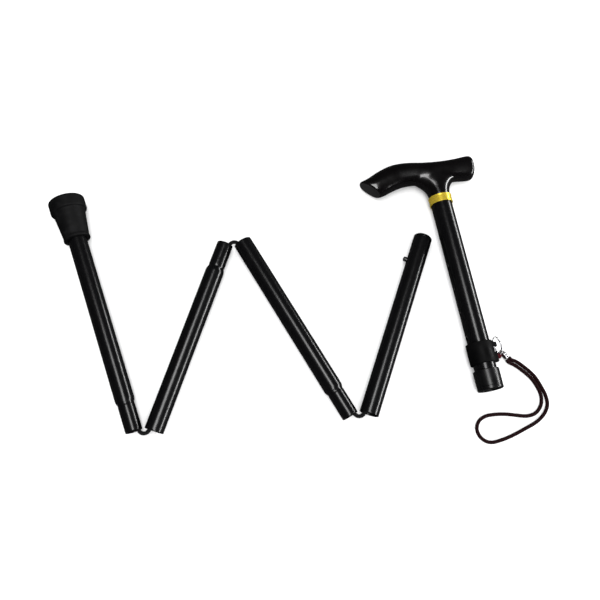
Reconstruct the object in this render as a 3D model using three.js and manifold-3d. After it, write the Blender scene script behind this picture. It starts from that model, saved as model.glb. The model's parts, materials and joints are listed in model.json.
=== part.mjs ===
// A folding, height-adjustable walking stick, laid out flat: four tube sections strung on an elastic cord
// in a zigzag, and the handle section, drawn out of them, with its wrist strap.
// Millimetres, +Z up. The stick lies on z = 0 and the origin is under the middle of its footprint.
import * as THREE from "three";
import { mergeVertices } from "three/addons/utils/BufferGeometryUtils.js";
import Module from "manifold-3d";

const wasm = await Module();
wasm.setup();

// ---- Driving dimensions ----

const GAP = 0.3; // between pieces that touch
const TUBE_SIDES = 36;
const SMALL_SIDES = 16;

const TUBE_RADIUS = 9.5; // the four cord-strung tubes, 3/4 in
const TUBE_WALL = 1;
const SLIDING_CLEARANCE = 0.3; // radial, tube in tube
const HANDLE_TUBE_WALL = 1.2; // makes the outer tube 7/8 in
const SPIGOT_LENGTH = 31; // swaged end that plugs into the next mouth
const SPIGOT_WALL = 1.2;
const SPIGOT_CLEARANCE = 0.2;
const SHOULDER_HEIGHT = 3;

const LOWER_LENGTH = 253; // foot to spigot end
const SECOND_LENGTH = 203;
const THIRD_LENGTH = 211;
const ADJUST_LENGTH = 196; // mouth to domed top
const HANDLE_TUBE_TOP = 204; // above the lock collar's mouth

const TIP_HEIGHT = 46;
const TIP_WALL = 3.8; // rubber round the tube, at the mouth
const TIP_FLARE = 2.6; // how much wider the neck is above the band
const TIP_STEP = 2.4; // how far the band stands out from it
const TIP_BAND_HEIGHT = 13;
const FOOT_CLEARANCE = 0.6; // keeps the tilted tip off the floor
const TIP_FLOOR = 6;
const TIP_WASHER_THICKNESS = 1.5;

const CORD_RADIUS = 2; // elastic cord
const CORD_CLEARANCE = 0.5; // to the spigot's bore that it hugs beside a fold
const FOLD_CLEARANCE = 0.5; // from the tube's side to the fold axis
const WASHER_THICKNESS = 4;
const KNOT_RADIUS = 4;
const LOWER_WASHER_HEIGHT = 24;
const UPPER_WASHER_HEIGHT = 118;

const BUTTON_RADIUS = 2.5;
const BUTTON_DROP = 31; // below the adjust tube's top
const BUTTON_PROUD = 4.1;
const HOLE_CLEARANCE = 0.5;
const HOLE_COUNT = 4;
const HOLE_PITCH = 25.4;
const FIRST_HOLE = 53; // above the lock collar's mouth

const COLLAR_WALL = 1.5;
const COLLAR_HEIGHT = 20;
const COLLET_HEIGHT = 4.4;
const RING_LAP = 3.5; // how far the gold ring reaches down over the tube
const RING_HEIGHT = 8.4;
const RING_WALL = 0.7;
const STEM_LENGTH = 14; // inside the tube
const SOCKET_DEPTH = 11.8; // inside the grip
const SCREW_RISE = 5.3; // above the grip's base

const HOLDER_BOTTOM = 26;
const HOLDER_HEIGHT = 21.5;
const HOLDER_WALL = 2;
const LUG_CENTRE = 43.5;
const LUG_HEIGHT = 4.5;
const LUG_HOLE_RADIUS = 1.4;
const SPLIT_RING_RADIUS = 8.5;
const WIRE_RADIUS = 0.6;
const STRAP_RADIUS = 1.8;
const CLASP_RADIUS = 3.1;
const CLASP_LENGTH = 6;

// How the sections lie: the adjust tube's mouth and heading, then the angle at each fold.
const ADJUST_MOUTH = [66, -118.5];
const ADJUST_HEADING = 18.6; // degrees, from +Y towards +X
const THIRD_FOLD = 49.7;
const SECOND_FOLD = 49.1;
const LOWER_FOLD = 37.9;
const HANDLE_MOUTH = [185.2, -95.8];
const HANDLE_HEADING = -10.5;

// ---- Sizes that follow ----

const radians = THREE.MathUtils.degToRad;
const BORE = TUBE_RADIUS - TUBE_WALL;
const SPIGOT_RADIUS = BORE - SPIGOT_CLEARANCE;
const SPIGOT_BORE = SPIGOT_RADIUS - SPIGOT_WALL;
const CORD_OFFSET = SPIGOT_BORE - CORD_RADIUS - CORD_CLEARANCE;
const HANDLE_BORE = TUBE_RADIUS + SLIDING_CLEARANCE;
const HANDLE_TUBE_RADIUS = HANDLE_BORE + HANDLE_TUBE_WALL;
const TIP_MOUTH_RADIUS = TUBE_RADIUS + GAP + TIP_WALL;
const TIP_SHOULDER_RADIUS = TIP_MOUTH_RADIUS + TIP_FLARE;
const TIP_RADIUS = TIP_SHOULDER_RADIUS + TIP_STEP;
const FOLD_OFFSET = TUBE_RADIUS + FOLD_CLEARANCE;
const COLLAR_RADIUS = HANDLE_TUBE_RADIUS + GAP + COLLAR_WALL;
const HOLDER_RADIUS = HANDLE_TUBE_RADIUS + GAP + HOLDER_WALL;
const HANDLE_AXIS_HEIGHT = Math.max(HOLDER_RADIUS, COLLAR_RADIUS) + 0.1;
const BUTTON_HEIGHT = ADJUST_LENGTH - BUTTON_DROP;
const HANDLE_TUBE_BOTTOM = 1 + COLLET_HEIGHT + GAP;
const LUG_X = HOLDER_RADIUS + 1.1;
const RING_BOTTOM = HANDLE_TUBE_TOP - RING_LAP;
const GRIP_BASE = RING_BOTTOM + RING_HEIGHT + GAP;

// ---- Finishes ----

const finish = (color, roughness, metalness = 0) =>
  new THREE.MeshStandardMaterial({ color, roughness, metalness });
const LACQUER = finish(0x0b0b0c, 0.28, 0.3);
const GRIP_PLASTIC = finish(0x0a0a0b, 0.22);
const RUBBER = finish(0x29292b, 0.8);
const BLACK_PLASTIC = finish(0x0d0d0e, 0.45);
const GOLD = finish(0xcfa93a, 0.35, 1);
const STEEL = finish(0xb5b5b8, 0.3, 1);
const ELASTIC = finish(0x101012, 0.9);
const BRAID = finish(0x24070b, 0.85);
const RED_BRAID = finish(0x5a0f18, 0.85);
const NYLON = finish(0xd8d6cf, 0.5);

// ---- Solids ----

/** A closed geometry as a manifold solid. */
function solidOf(geometry) {
  const bare = new THREE.BufferGeometry().setAttribute("position", geometry.getAttribute("position"));
  if (geometry.index) bare.setIndex(geometry.index);
  const merged = mergeVertices(bare, 1e-3);
  const corners = merged.index.array;
  const kept = [];
  for (let i = 0; i < corners.length; i += 3) {
    const [a, b, c] = [corners[i], corners[i + 1], corners[i + 2]];
    if (a !== b && b !== c && c !== a) kept.push(a, b, c);
  }
  const mesh = new wasm.Mesh({
    numProp: 3,
    vertProperties: new Float32Array(merged.attributes.position.array),
    triVerts: new Uint32Array(kept),
  });
  return new wasm.Manifold(mesh);
}

/** A manifold solid as a geometry. */
function geometryOf(solid) {
  const { vertProperties, triVerts } = solid.getMesh();
  const geometry = new THREE.BufferGeometry();
  geometry.setAttribute("position", new THREE.BufferAttribute(vertProperties, 3));
  return geometry.setIndex(new THREE.BufferAttribute(triVerts, 1));
}

/** The first geometry less all the others. */
function cut(base, ...tools) {
  return geometryOf(tools.reduce((left, tool) => left.subtract(solidOf(tool)), solidOf(base)));
}

/** All the geometries as one. */
function join(first, ...others) {
  return geometryOf(others.reduce((sum, other) => sum.add(solidOf(other)), solidOf(first)));
}

/** A solid turned about Z from a profile of [radius, height] points. */
function turned(profile, sides = TUBE_SIDES) {
  const points = profile.map(([r, z]) => new THREE.Vector2(r, z));
  return new THREE.LatheGeometry(points, sides).rotateX(Math.PI / 2);
}

/** A ring or sleeve about Z. */
function sleeve(inner, outer, bottom, top, sides = TUBE_SIDES) {
  return turned([[inner, bottom], [outer, bottom], [outer, top], [inner, top], [inner, bottom]], sides);
}

/** A plain disc or rod about Z. */
function rod(radius, bottom, top, sides = TUBE_SIDES) {
  return turned([[0, bottom], [radius, bottom], [radius, top], [0, top]], sides);
}

/** A rod along X. */
function crossRod(radius, from, to, height, sides = SMALL_SIDES) {
  return rod(radius, from, to, sides).rotateY(Math.PI / 2).translate(0, 0, height);
}

/** A round cord along a curve. */
function corded(curve, radius, steps, sides = 8) {
  const outline = new THREE.Shape().absarc(0, 0, radius, 0, 2 * Math.PI);
  return new THREE.ExtrudeGeometry(outline, {
    steps,
    curveSegments: sides / 2,
    bevelEnabled: false,
    extrudePath: curve,
  });
}

/** A closed loft through rings of points, the same count in each, with fans over both ends. */
function lofted(rings) {
  const count = rings[0].length;
  const centres = [rings[0], rings.at(-1)].map((ring) =>
    ring.reduce((sum, p) => sum.add(p), new THREE.Vector3()).divideScalar(count),
  );
  const points = [...rings.flat(), ...centres];
  const faces = [];
  for (let r = 0; r + 1 < rings.length; r++)
    for (let i = 0; i < count; i++) {
      const [a, b] = [r * count + i, r * count + ((i + 1) % count)];
      faces.push(a, b, b + count, a, b + count, a + count);
    }
  const [first, last] = [points.length - 2, points.length - 1];
  const top = (rings.length - 1) * count;
  for (let i = 0; i < count; i++) {
    const next = (i + 1) % count;
    faces.push(first, next, i, last, top + i, top + next);
  }
  const geometry = new THREE.BufferGeometry().setFromPoints(points).setIndex(faces);
  return solidOf(geometry).volume() > 0 ? geometry : geometry.setIndex(faces.reverse());
}

/** One named piece of a group. */
function piece(group, name, material, geometry) {
  const mesh = new THREE.Mesh(geometry, material);
  mesh.name = name;
  group.add(mesh);
  return mesh;
}

// ---- Layout ----

/** A frame whose +Z runs along the floor at a heading, +X to its right and +Y down. */
function laidFrame([x, y], heading, height) {
  const [s, c] = [Math.sin(radians(heading)), Math.cos(radians(heading))];
  const frame = new THREE.Matrix4().makeBasis(
    new THREE.Vector3(c, -s, 0),
    new THREE.Vector3(0, 0, -1),
    new THREE.Vector3(s, c, 0),
  );
  return frame.setPosition(x, y, height);
}

/** The unit vector across a section that points to a fold's axis. */
const foldSide = (side, roll) => new THREE.Vector3(side * Math.cos(roll), -Math.sin(roll), 0);

/** The frame of a section that is folded back beside its parent, hinged at the parent's mouth. */
function foldedFrame(parent, side, angle, length) {
  const pivot = side.clone().multiplyScalar(FOLD_OFFSET);
  const axis = new THREE.Vector3(0, 0, -1).cross(side);
  return parent
    .clone()
    .multiply(new THREE.Matrix4().makeTranslation(pivot))
    .multiply(new THREE.Matrix4().makeRotationAxis(axis, Math.PI - radians(angle)))
    .multiply(new THREE.Matrix4().makeTranslation(pivot.negate()))
    .multiply(new THREE.Matrix4().makeTranslation(0, 0, -length));
}

/** The lower section leans up off the floor, because its foot is fatter than its tube. */
function lowerRoll() {
  const fold = radians(LOWER_FOLD);
  const reach = FOLD_OFFSET * (1 + Math.cos(fold)) + LOWER_LENGTH * Math.sin(fold);
  return Math.asin((TIP_RADIUS + FOOT_CLEARANCE - TUBE_RADIUS) / reach);
}

const adjustFrame = laidFrame(ADJUST_MOUTH, ADJUST_HEADING, TUBE_RADIUS);
const thirdSide = foldSide(-1, 0);
const secondSide = foldSide(1, 0);
const lowerSide = foldSide(-1, lowerRoll());
const thirdFrame = foldedFrame(adjustFrame, thirdSide, THIRD_FOLD, THIRD_LENGTH);
const secondFrame = foldedFrame(thirdFrame, secondSide, SECOND_FOLD, SECOND_LENGTH);
const lowerFrame = foldedFrame(secondFrame, lowerSide, LOWER_FOLD, LOWER_LENGTH);
const handleFrame = laidFrame(HANDLE_MOUTH, HANDLE_HEADING, HANDLE_AXIS_HEIGHT);

const stick = new THREE.Group();
stick.name = "folding_walking_stick";

/** A group of pieces placed by a frame. */
function section(frame) {
  const group = new THREE.Group();
  frame.decompose(group.position, group.quaternion, group.scale);
  stick.add(group);
  return group;
}

// ---- Tube sections ----

/** A tube with a plain mouth at the bottom and a swaged spigot on top. */
function swagedTube(bottom, length) {
  const shoulder = length - SPIGOT_LENGTH;
  const swage = shoulder + SHOULDER_HEIGHT;
  const rim = 0.3; // broken edge
  return turned([
    [BORE, bottom],
    [TUBE_RADIUS - rim, bottom],
    [TUBE_RADIUS, bottom + rim],
    [TUBE_RADIUS, shoulder],
    [SPIGOT_RADIUS, swage],
    [SPIGOT_RADIUS, length - 2 * rim],
    [SPIGOT_RADIUS - rim, length],
    [SPIGOT_BORE, length],
    [SPIGOT_BORE, swage],
    [BORE, shoulder],
    [BORE, bottom],
  ]);
}

/** The cord inside a section, from its lower end to its upper end, hugging one side near each fold. */
function cordInside(from, fromSide, to, toSide) {
  const shoulder = to - SPIGOT_LENGTH - 3;
  const at = (height, side, share) =>
    side.clone().multiplyScalar(CORD_OFFSET * share).add(new THREE.Vector3(0, 0, height));
  const curve = new THREE.CatmullRomCurve3(
    [
      at(from, fromSide, 1),
      at(from + 12, fromSide, 1),
      at(from + 34, fromSide, 0.3),
      at((from + to) / 2, toSide, 0),
      at(shoulder - 24, toSide, 0.3),
      at(shoulder - 6, toSide, 0.92),
      at(shoulder, toSide, 1),
      at(shoulder + 8, toSide, 1),
      at(to, toSide, 1),
    ],
    false,
    "centripetal",
  );
  return corded(curve, CORD_RADIUS, 22);
}

/** The cord across a fold, in the parent's frame: up in its mouth, round the fold axis, into the spigot. */
function cordBridge(side, angle) {
  const inside = CORD_OFFSET;
  const reach = FOLD_OFFSET - inside;
  const turn = Math.PI - radians(angle);
  const arcPoint = (share) => {
    const a = turn * share;
    return side
      .clone()
      .multiplyScalar(FOLD_OFFSET - reach * Math.cos(a))
      .add(new THREE.Vector3(0, 0, -reach * Math.sin(a)));
  };
  const straight = side.clone().multiplyScalar(inside);
  const points = [SPIGOT_LENGTH, 20, 10, 3].map((z) => straight.clone().setZ(z));
  const arcSteps = 6;
  for (let i = 0; i <= arcSteps; i++) points.push(arcPoint(i / arcSteps));
  const end = arcPoint(1);
  const onward = end.clone().sub(arcPoint(0.999)).normalize();
  points.push(end.add(onward.multiplyScalar(2)));
  return corded(new THREE.CatmullRomCurve3(points, false, "centripetal"), CORD_RADIUS, 24);
}

/** A washer the cord is threaded through and the knot that stops it there. */
function cordStop(group, name, height, knotSide) {
  const hole = CORD_RADIUS + GAP;
  piece(group, "cord_washer_" + name, NYLON, sleeve(hole, BORE - GAP, height, height + WASHER_THICKNESS, 24));
  const centre = height + WASHER_THICKNESS / 2 + knotSide * (WASHER_THICKNESS / 2 + GAP + KNOT_RADIUS);
  const knot = new THREE.SphereGeometry(KNOT_RADIUS, 12, 8).translate(0, 0, centre);
  piece(group, "cord_knot_" + name, ELASTIC, knot);
}

const BRIDGE_END = 2; // how far a bridge runs into the spigot

/** The lowest section: tube, rubber foot and the cord's lower anchor. */
function buildLower() {
  const group = section(lowerFrame);
  const washerBottom = TIP_FLOOR + GAP;
  const tubeBottom = washerBottom + TIP_WASHER_THICKNESS + GAP;
  piece(group, "lower_tube", LACQUER, swagedTube(tubeBottom, LOWER_LENGTH));
  const grip = TUBE_RADIUS + GAP;
  const lip = 1;
  const tip = turned(
    [
      [0, 0],
      [TIP_RADIUS - 1.5, 0],
      [TIP_RADIUS, 1.5],
      [TIP_RADIUS, TIP_BAND_HEIGHT],
      [TIP_SHOULDER_RADIUS, TIP_BAND_HEIGHT + 1.4],
      [TIP_MOUTH_RADIUS, TIP_HEIGHT - 2 * lip],
      [TIP_MOUTH_RADIUS, TIP_HEIGHT - lip / 2],
      [TIP_MOUTH_RADIUS - lip, TIP_HEIGHT],
      [grip, TIP_HEIGHT],
      [grip, TIP_FLOOR],
      [0, TIP_FLOOR],
    ],
    48,
  );
  piece(group, "rubber_tip", RUBBER, tip);
  const washerTop = washerBottom + TIP_WASHER_THICKNESS;
  piece(group, "tip_washer", STEEL, rod(TUBE_RADIUS - GAP, washerBottom, washerTop, 24));
  cordStop(group, "lower", LOWER_WASHER_HEIGHT, -1);
  const start = LOWER_WASHER_HEIGHT - GAP / 2;
  const top = LOWER_LENGTH - BRIDGE_END - GAP;
  const middle = lowerSide.clone().multiplyScalar(CORD_OFFSET);
  const curve = new THREE.CatmullRomCurve3(
    [
      new THREE.Vector3(0, 0, start),
      new THREE.Vector3(0, 0, top / 3),
      new THREE.Vector3(0, 0, (2 * top) / 3),
      middle.clone().setZ(top - SPIGOT_LENGTH - 2),
      middle.clone().setZ(top),
    ],
    false,
    "centripetal",
  );
  piece(group, "cord_lower", ELASTIC, corded(curve, CORD_RADIUS, 20));
}

/** A middle section: a swaged tube with the cord through it. */
function buildMiddle(name, frame, length, mouthSide, spigotSide) {
  const group = section(frame);
  piece(group, name + "_tube", LACQUER, swagedTube(0, length));
  const from = SPIGOT_LENGTH + GAP;
  const to = length - BRIDGE_END - GAP;
  piece(group, "cord_" + name, ELASTIC, cordInside(from, mouthSide, to, spigotSide));
}

/** The adjust tube, with its end plug, snap button, button spring and the cord's upper anchor. */
function buildAdjust() {
  const group = section(adjustFrame);
  const tubeTop = ADJUST_LENGTH - 4;
  const buttonHole = crossRod(BUTTON_RADIUS + HOLE_CLEARANCE, -2 * TUBE_RADIUS, 0, BUTTON_HEIGHT);
  const tube = cut(sleeve(BORE, TUBE_RADIUS, 0, tubeTop), buttonHole);
  piece(group, "adjust_tube", LACQUER, tube);
  const flange = tubeTop + GAP;
  const dome = ADJUST_LENGTH - flange;
  const plug = turned([
    [0, tubeTop - 10],
    [BORE - GAP, tubeTop - 10],
    [BORE - GAP, flange],
    [TUBE_RADIUS, flange],
    [TUBE_RADIUS, flange + 0.4 * dome],
    [TUBE_RADIUS - 1, flange + 0.75 * dome],
    [TUBE_RADIUS - 3, ADJUST_LENGTH],
    [0, ADJUST_LENGTH],
  ]);
  piece(group, "adjust_top_plug", BLACK_PLASTIC, plug);

  const proud = TUBE_RADIUS + BUTTON_PROUD;
  const button = turned(
    [
      [0, 5],
      [BUTTON_RADIUS + 0.9, 5],
      [BUTTON_RADIUS + 0.9, 6.4],
      [BUTTON_RADIUS, 6.4],
      [BUTTON_RADIUS, proud - 1.6],
      [BUTTON_RADIUS - 0.5, proud - 0.6],
      [BUTTON_RADIUS - 1.4, proud],
      [0, proud],
    ],
    SMALL_SIDES,
  );
  const buttonMesh = piece(group, "snap_button", BLACK_PLASTIC, button.rotateY(-Math.PI / 2));
  buttonMesh.position.z = BUTTON_HEIGHT;

  const thick = 0.7;
  const near = 5 - GAP - thick;
  const far = BORE - 1.5;
  const drop = 20;
  const middle = (far - near) / 2;
  const bend = (far + near) / 2;
  const spring = new THREE.Shape();
  spring.moveTo(-near - thick, 3).lineTo(-near - thick, -drop);
  spring.absarc(middle, -drop, bend + thick, Math.PI, 2 * Math.PI);
  spring.lineTo(far + thick, 3).lineTo(far, 3).lineTo(far, -drop);
  spring.absarc(middle, -drop, bend, 2 * Math.PI, Math.PI, true);
  spring.lineTo(-near, 3).closePath();
  const width = 5;
  const strip = new THREE.ExtrudeGeometry(spring, { depth: width, bevelEnabled: false, curveSegments: 8 });
  strip.translate(0, 0, -width / 2).rotateX(Math.PI / 2).translate(0, 0, BUTTON_HEIGHT);
  piece(group, "button_spring", STEEL, strip);

  cordStop(group, "upper", UPPER_WASHER_HEIGHT, 1);
  const offset = thirdSide.clone().multiplyScalar(CORD_OFFSET);
  const curve = new THREE.CatmullRomCurve3(
    [
      offset.clone().setZ(SPIGOT_LENGTH + GAP),
      offset.clone().setZ(SPIGOT_LENGTH + 12),
      new THREE.Vector3(0, 0, 80),
      new THREE.Vector3(0, 0, UPPER_WASHER_HEIGHT + WASHER_THICKNESS + GAP / 2),
    ],
    false,
    "centripetal",
  );
  piece(group, "cord_upper", ELASTIC, corded(curve, CORD_RADIUS, 12));
  piece(group, "cord_bridge_third", ELASTIC, cordBridge(thirdSide, THIRD_FOLD));
}

// ---- Handle section ----

// The grip's outline, from nose to heel: each cut's top and bottom as [across, up from its base], and its
// half width.
const GRIP_CUTS = [
  { top: [-80.4, 30.2], bottom: [-63, 14.2], half: 9.4 },
  { top: [-79.6, 32.4], bottom: [-61.2, 13.4], half: 11.2 },
  { top: [-72, 37.6], bottom: [-55, 15.4], half: 12.2 },
  { top: [-58, 44.4], bottom: [-46, 18.4], half: 12.9 },
  { top: [-44, 47.4], bottom: [-36, 20.4], half: 13.1 },
  { top: [-28, 46.8], bottom: [-25, 20.6], half: 13.1 },
  { top: [-10, 43.8], bottom: [-10, 19.8], half: 12.9 },
  { top: [8, 42.1], bottom: [8, 18.8], half: 12.6 },
  { top: [24, 41.8], bottom: [22, 17.4], half: 12.5 },
  { top: [37, 42.6], bottom: [35, 16.2], half: 12.4 },
  { top: [41.6, 41.2], bottom: [40, 17.8], half: 11.4 },
  { top: [43.6, 37.3], bottom: [42.6, 21.8], half: 8 },
];
// The neck below it: rise, and how much wider than the tube it is in the grip's plane and across it.
const NECK_CUTS = [
  [0, 0, 0],
  [3.8, 0.4, 0.2],
  [8.8, 2, 0.6],
  [13.3, 5.2, 1],
  [17.3, 9.6, 1.2],
  [21.8, 13, 1.2],
  [26.8, 13, 0],
];
const GRIP_SIDES = 20;

/** An ellipse of points about a centre with two half-axes. */
function ellipse(centre, a, b) {
  return Array.from({ length: GRIP_SIDES }, (_, i) => {
    const angle = (2 * Math.PI * i) / GRIP_SIDES;
    return centre.clone().addScaledVector(a, Math.cos(angle)).addScaledVector(b, Math.sin(angle));
  });
}

/** The moulded grip: a lofted hand piece joined to a flared neck. */
function gripGeometry() {
  const across = new THREE.Vector3(0, 1, 0);
  const hand = GRIP_CUTS.map(({ top, bottom, half }) => {
    const [t, b] = [top, bottom].map(([x, z]) => new THREE.Vector3(x, 0, GRIP_BASE + z));
    const centre = t.clone().add(b).multiplyScalar(0.5);
    return ellipse(centre, t.sub(centre), across.clone().multiplyScalar(half));
  });
  const neck = NECK_CUTS.map(([rise, widen, thicken]) =>
    ellipse(
      new THREE.Vector3(0, 0, GRIP_BASE + rise),
      new THREE.Vector3(HANDLE_TUBE_RADIUS + widen, 0, 0),
      new THREE.Vector3(0, HANDLE_TUBE_RADIUS + thicken, 0),
    ),
  );
  const socket = rod(HANDLE_BORE - GAP, HANDLE_TUBE_TOP - 4, GRIP_BASE + SOCKET_DEPTH, 24);
  const screwHole = crossRod(1.9, -3 * TUBE_RADIUS, 0, GRIP_BASE + SCREW_RISE);
  return cut(join(lofted(hand), lofted(neck)), socket, screwHole);
}

/** The handle section without its moving pieces. */
function buildHandle(group) {
  const holes = [];
  for (let i = 0; i < HOLE_COUNT; i++) {
    const height = FIRST_HOLE + i * HOLE_PITCH;
    holes.push(crossRod(BUTTON_RADIUS + HOLE_CLEARANCE, -2 * HANDLE_TUBE_RADIUS, 0, height));
  }
  const tube = sleeve(HANDLE_BORE, HANDLE_TUBE_RADIUS, HANDLE_TUBE_BOTTOM, HANDLE_TUBE_TOP);
  piece(group, "handle_tube", LACQUER, cut(tube, ...holes));
  piece(group, "handle_grip", GRIP_PLASTIC, gripGeometry());
  const inner = HANDLE_TUBE_RADIUS + GAP;
  const ringTop = RING_BOTTOM + RING_HEIGHT;
  const ring = join(
    sleeve(inner, inner + RING_WALL, RING_BOTTOM, ringTop),
    sleeve(inner, inner + RING_WALL + 0.3, RING_BOTTOM, RING_BOTTOM + 1),
    sleeve(inner, inner + RING_WALL + 0.3, ringTop - 1, ringTop),
  );
  piece(group, "gold_ring", GOLD, ring);
  const stemRadius = HANDLE_BORE - 2 * GAP;
  const screwHeight = GRIP_BASE + SCREW_RISE;
  const stem = rod(stemRadius, HANDLE_TUBE_TOP - STEM_LENGTH, GRIP_BASE + SOCKET_DEPTH - 0.5, 24);
  piece(group, "grip_stem", NYLON, cut(stem, crossRod(1.2, -3 * TUBE_RADIUS, 2, screwHeight)));
  const seat = stemRadius + GAP;
  const head = crossRod(1.6, -seat - 1.2, -seat, screwHeight);
  const screw = join(crossRod(0.8, -seat - 0.5, 0, screwHeight), head);
  piece(group, "grip_screw", STEEL, screw);
}

/** The threaded collar and the split collet that it squeezes onto the adjust tube. */
function buildCollar(group) {
  const thread = HANDLE_TUBE_RADIUS + GAP;
  const mouth = HANDLE_BORE + 0.2;
  const collar = turned([
    [mouth, 0],
    [COLLAR_RADIUS - 0.8, 0],
    [COLLAR_RADIUS, 0.8],
    [COLLAR_RADIUS, COLLAR_HEIGHT - 0.6],
    [COLLAR_RADIUS - 0.6, COLLAR_HEIGHT],
    [thread, COLLAR_HEIGHT],
    [thread, 1],
    [mouth, 1],
    [mouth, 0],
  ]);
  piece(group, "lock_collar", BLACK_PLASTIC, collar);
  const bottom = 1 + GAP;
  const slit = new THREE.BoxGeometry(6, 1.2, 20).translate(HANDLE_TUBE_RADIUS, 0, 0);
  const collet = sleeve(HANDLE_BORE, thread - GAP, bottom, bottom + COLLET_HEIGHT - GAP);
  piece(group, "collar_collet", NYLON, cut(collet, slit));
}

// ---- Wrist strap ----

const RING_TILT = Math.asin((HANDLE_AXIS_HEIGHT - WIRE_RADIUS - 0.2) / (2 * SPLIT_RING_RADIUS));
const CLASP_TURN = radians(52); // round the split ring, from its outermost point towards the foot
const OUTWARD = new THREE.Vector3(Math.cos(RING_TILT), Math.sin(RING_TILT), 0);
const UPWARD = new THREE.Vector3(0, 0, 1);
const RING_CENTRE = new THREE.Vector3(LUG_X, 0, LUG_CENTRE).addScaledVector(OUTWARD, SPLIT_RING_RADIUS);
const FLOOR = HANDLE_AXIS_HEIGHT; // the floor, down the handle frame's +Y

/** The point of the split ring's wire that the clasp hangs on, and the wire's direction there. */
function claspHold() {
  const at = RING_CENTRE.clone()
    .addScaledVector(OUTWARD, SPLIT_RING_RADIUS * Math.cos(CLASP_TURN))
    .addScaledVector(UPWARD, -SPLIT_RING_RADIUS * Math.sin(CLASP_TURN));
  const along = new THREE.Vector3()
    .addScaledVector(OUTWARD, Math.sin(CLASP_TURN))
    .addScaledVector(UPWARD, Math.cos(CLASP_TURN));
  return { at, along };
}

// The strap's route over the floor, [across, up] from the lock collar's mouth: out of the clasp, round the
// loop and back beside itself.
const STRAP_ROUTE = [
  [26.5, 27.9],
  [28.6, 24.9],
  [33.2, 21.4],
  [39.5, 14.4],
  [45.9, 5.3],
  [49.5, -4.5],
  [50.6, -13.6],
  [47.6, -22.4],
  [40.5, -28.6],
  [32, -29.9],
  [22, -27.5],
  [12.7, -24.7],
  [0.5, -22.7],
  [-8.7, -22.8],
  [-15.8, -25.9],
  [-19.9, -32.7],
  [-18.9, -40.7],
  [-14.1, -46.4],
  [-8.3, -48.4],
  [0.8, -47.8],
  [10.2, -46.1],
  [24.9, -41.9],
  [40, -36.7],
  [49.2, -30.4],
  [54.2, -23.1],
  [55.2, -14.6],
  [53.3, -4.6],
  [49.4, 7.1],
  [42.7, 17],
  [35.8, 24.6],
  [31.4, 27.5],
  [29.7, 29.6],
];

/** Places a solid that points along +Z, from one point towards another. */
function aimed(geometry, from, direction) {
  const turn = new THREE.Quaternion().setFromUnitVectors(UPWARD, direction.clone().normalize());
  return geometry.applyQuaternion(turn).translate(from.x, from.y, from.z);
}

/** The strap holder, split ring, clasp and strap. */
function buildStrap(group) {
  const lugX = LUG_X;
  const top = HOLDER_BOTTOM + HOLDER_HEIGHT;
  const band = sleeve(HANDLE_TUBE_RADIUS + GAP, HOLDER_RADIUS, HOLDER_BOTTOM, top);
  const inner = HOLDER_RADIUS - 0.8;
  const flange = new THREE.BoxGeometry(2.4, 5.6, 10).translate(inner + 1.2, 0, HOLDER_BOTTOM + 5);
  const lug = new THREE.BoxGeometry(4.2, 4.8, LUG_HEIGHT).translate(inner + 2.1, 0, LUG_CENTRE);
  const hole = rod(LUG_HOLE_RADIUS, LUG_CENTRE - 5, LUG_CENTRE + 5, SMALL_SIDES).translate(lugX, 0, 0);
  piece(group, "strap_holder", BLACK_PLASTIC, cut(join(band, flange, lug), hole));

  const wire = new THREE.TorusGeometry(SPLIT_RING_RADIUS, WIRE_RADIUS, 8, 36);
  const basis = new THREE.Matrix4().makeBasis(OUTWARD, UPWARD, OUTWARD.clone().cross(UPWARD));
  wire.applyMatrix4(basis.setPosition(RING_CENTRE));
  piece(group, "split_ring", STEEL, wire);

  const { at, along } = claspHold();
  const heading = new THREE.Vector3(0.46, 0, -0.89).normalize();
  const eyeRadius = 1.9;
  const eyeWire = 0.55;
  const eye = new THREE.TorusGeometry(eyeRadius, eyeWire, 8, 20);
  eye.applyQuaternion(new THREE.Quaternion().setFromUnitVectors(UPWARD, along));
  const pull = heading.clone().addScaledVector(along, -heading.dot(along)).normalize();
  const eyeCentre = at.clone().addScaledVector(pull, eyeRadius - eyeWire - WIRE_RADIUS - GAP);
  eye.translate(eyeCentre.x, eyeCentre.y, eyeCentre.z);
  const start = eyeCentre.clone().addScaledVector(heading, eyeRadius - 0.2);
  start.y = FLOOR - CLASP_RADIUS - 0.1;
  const barrel = turned(
    [
      [0, 0],
      [CLASP_RADIUS - 1.2, 0],
      [CLASP_RADIUS, 1.2],
      [CLASP_RADIUS, CLASP_LENGTH - 0.8],
      [CLASP_RADIUS - 0.6, CLASP_LENGTH],
      [0, CLASP_LENGTH],
    ],
    SMALL_SIDES,
  );
  piece(group, "strap_clasp", STEEL, join(aimed(barrel, start, heading), eye));

  const last = STRAP_ROUTE.length - 1;
  const route = STRAP_ROUTE.map(([x, z], i) => {
    const lift = i === 0 || i === last ? 1.1 : 0.05;
    return new THREE.Vector3(x, FLOOR - STRAP_RADIUS - lift, z);
  });
  const curve = new THREE.CatmullRomCurve3(route, false, "centripetal");
  piece(group, "wrist_strap", BRAID, corded(curve, STRAP_RADIUS, 74));
  const tailStart = new THREE.Vector3(17, FLOOR - 3.2, 33.5);
  const tail = aimed(rod(2.6, 0, 4.2, 12), tailStart, new THREE.Vector3(0.72, 0, -0.3));
  piece(group, "strap_tail", RED_BRAID, tail);
}

// ---- Assembly ----

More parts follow.
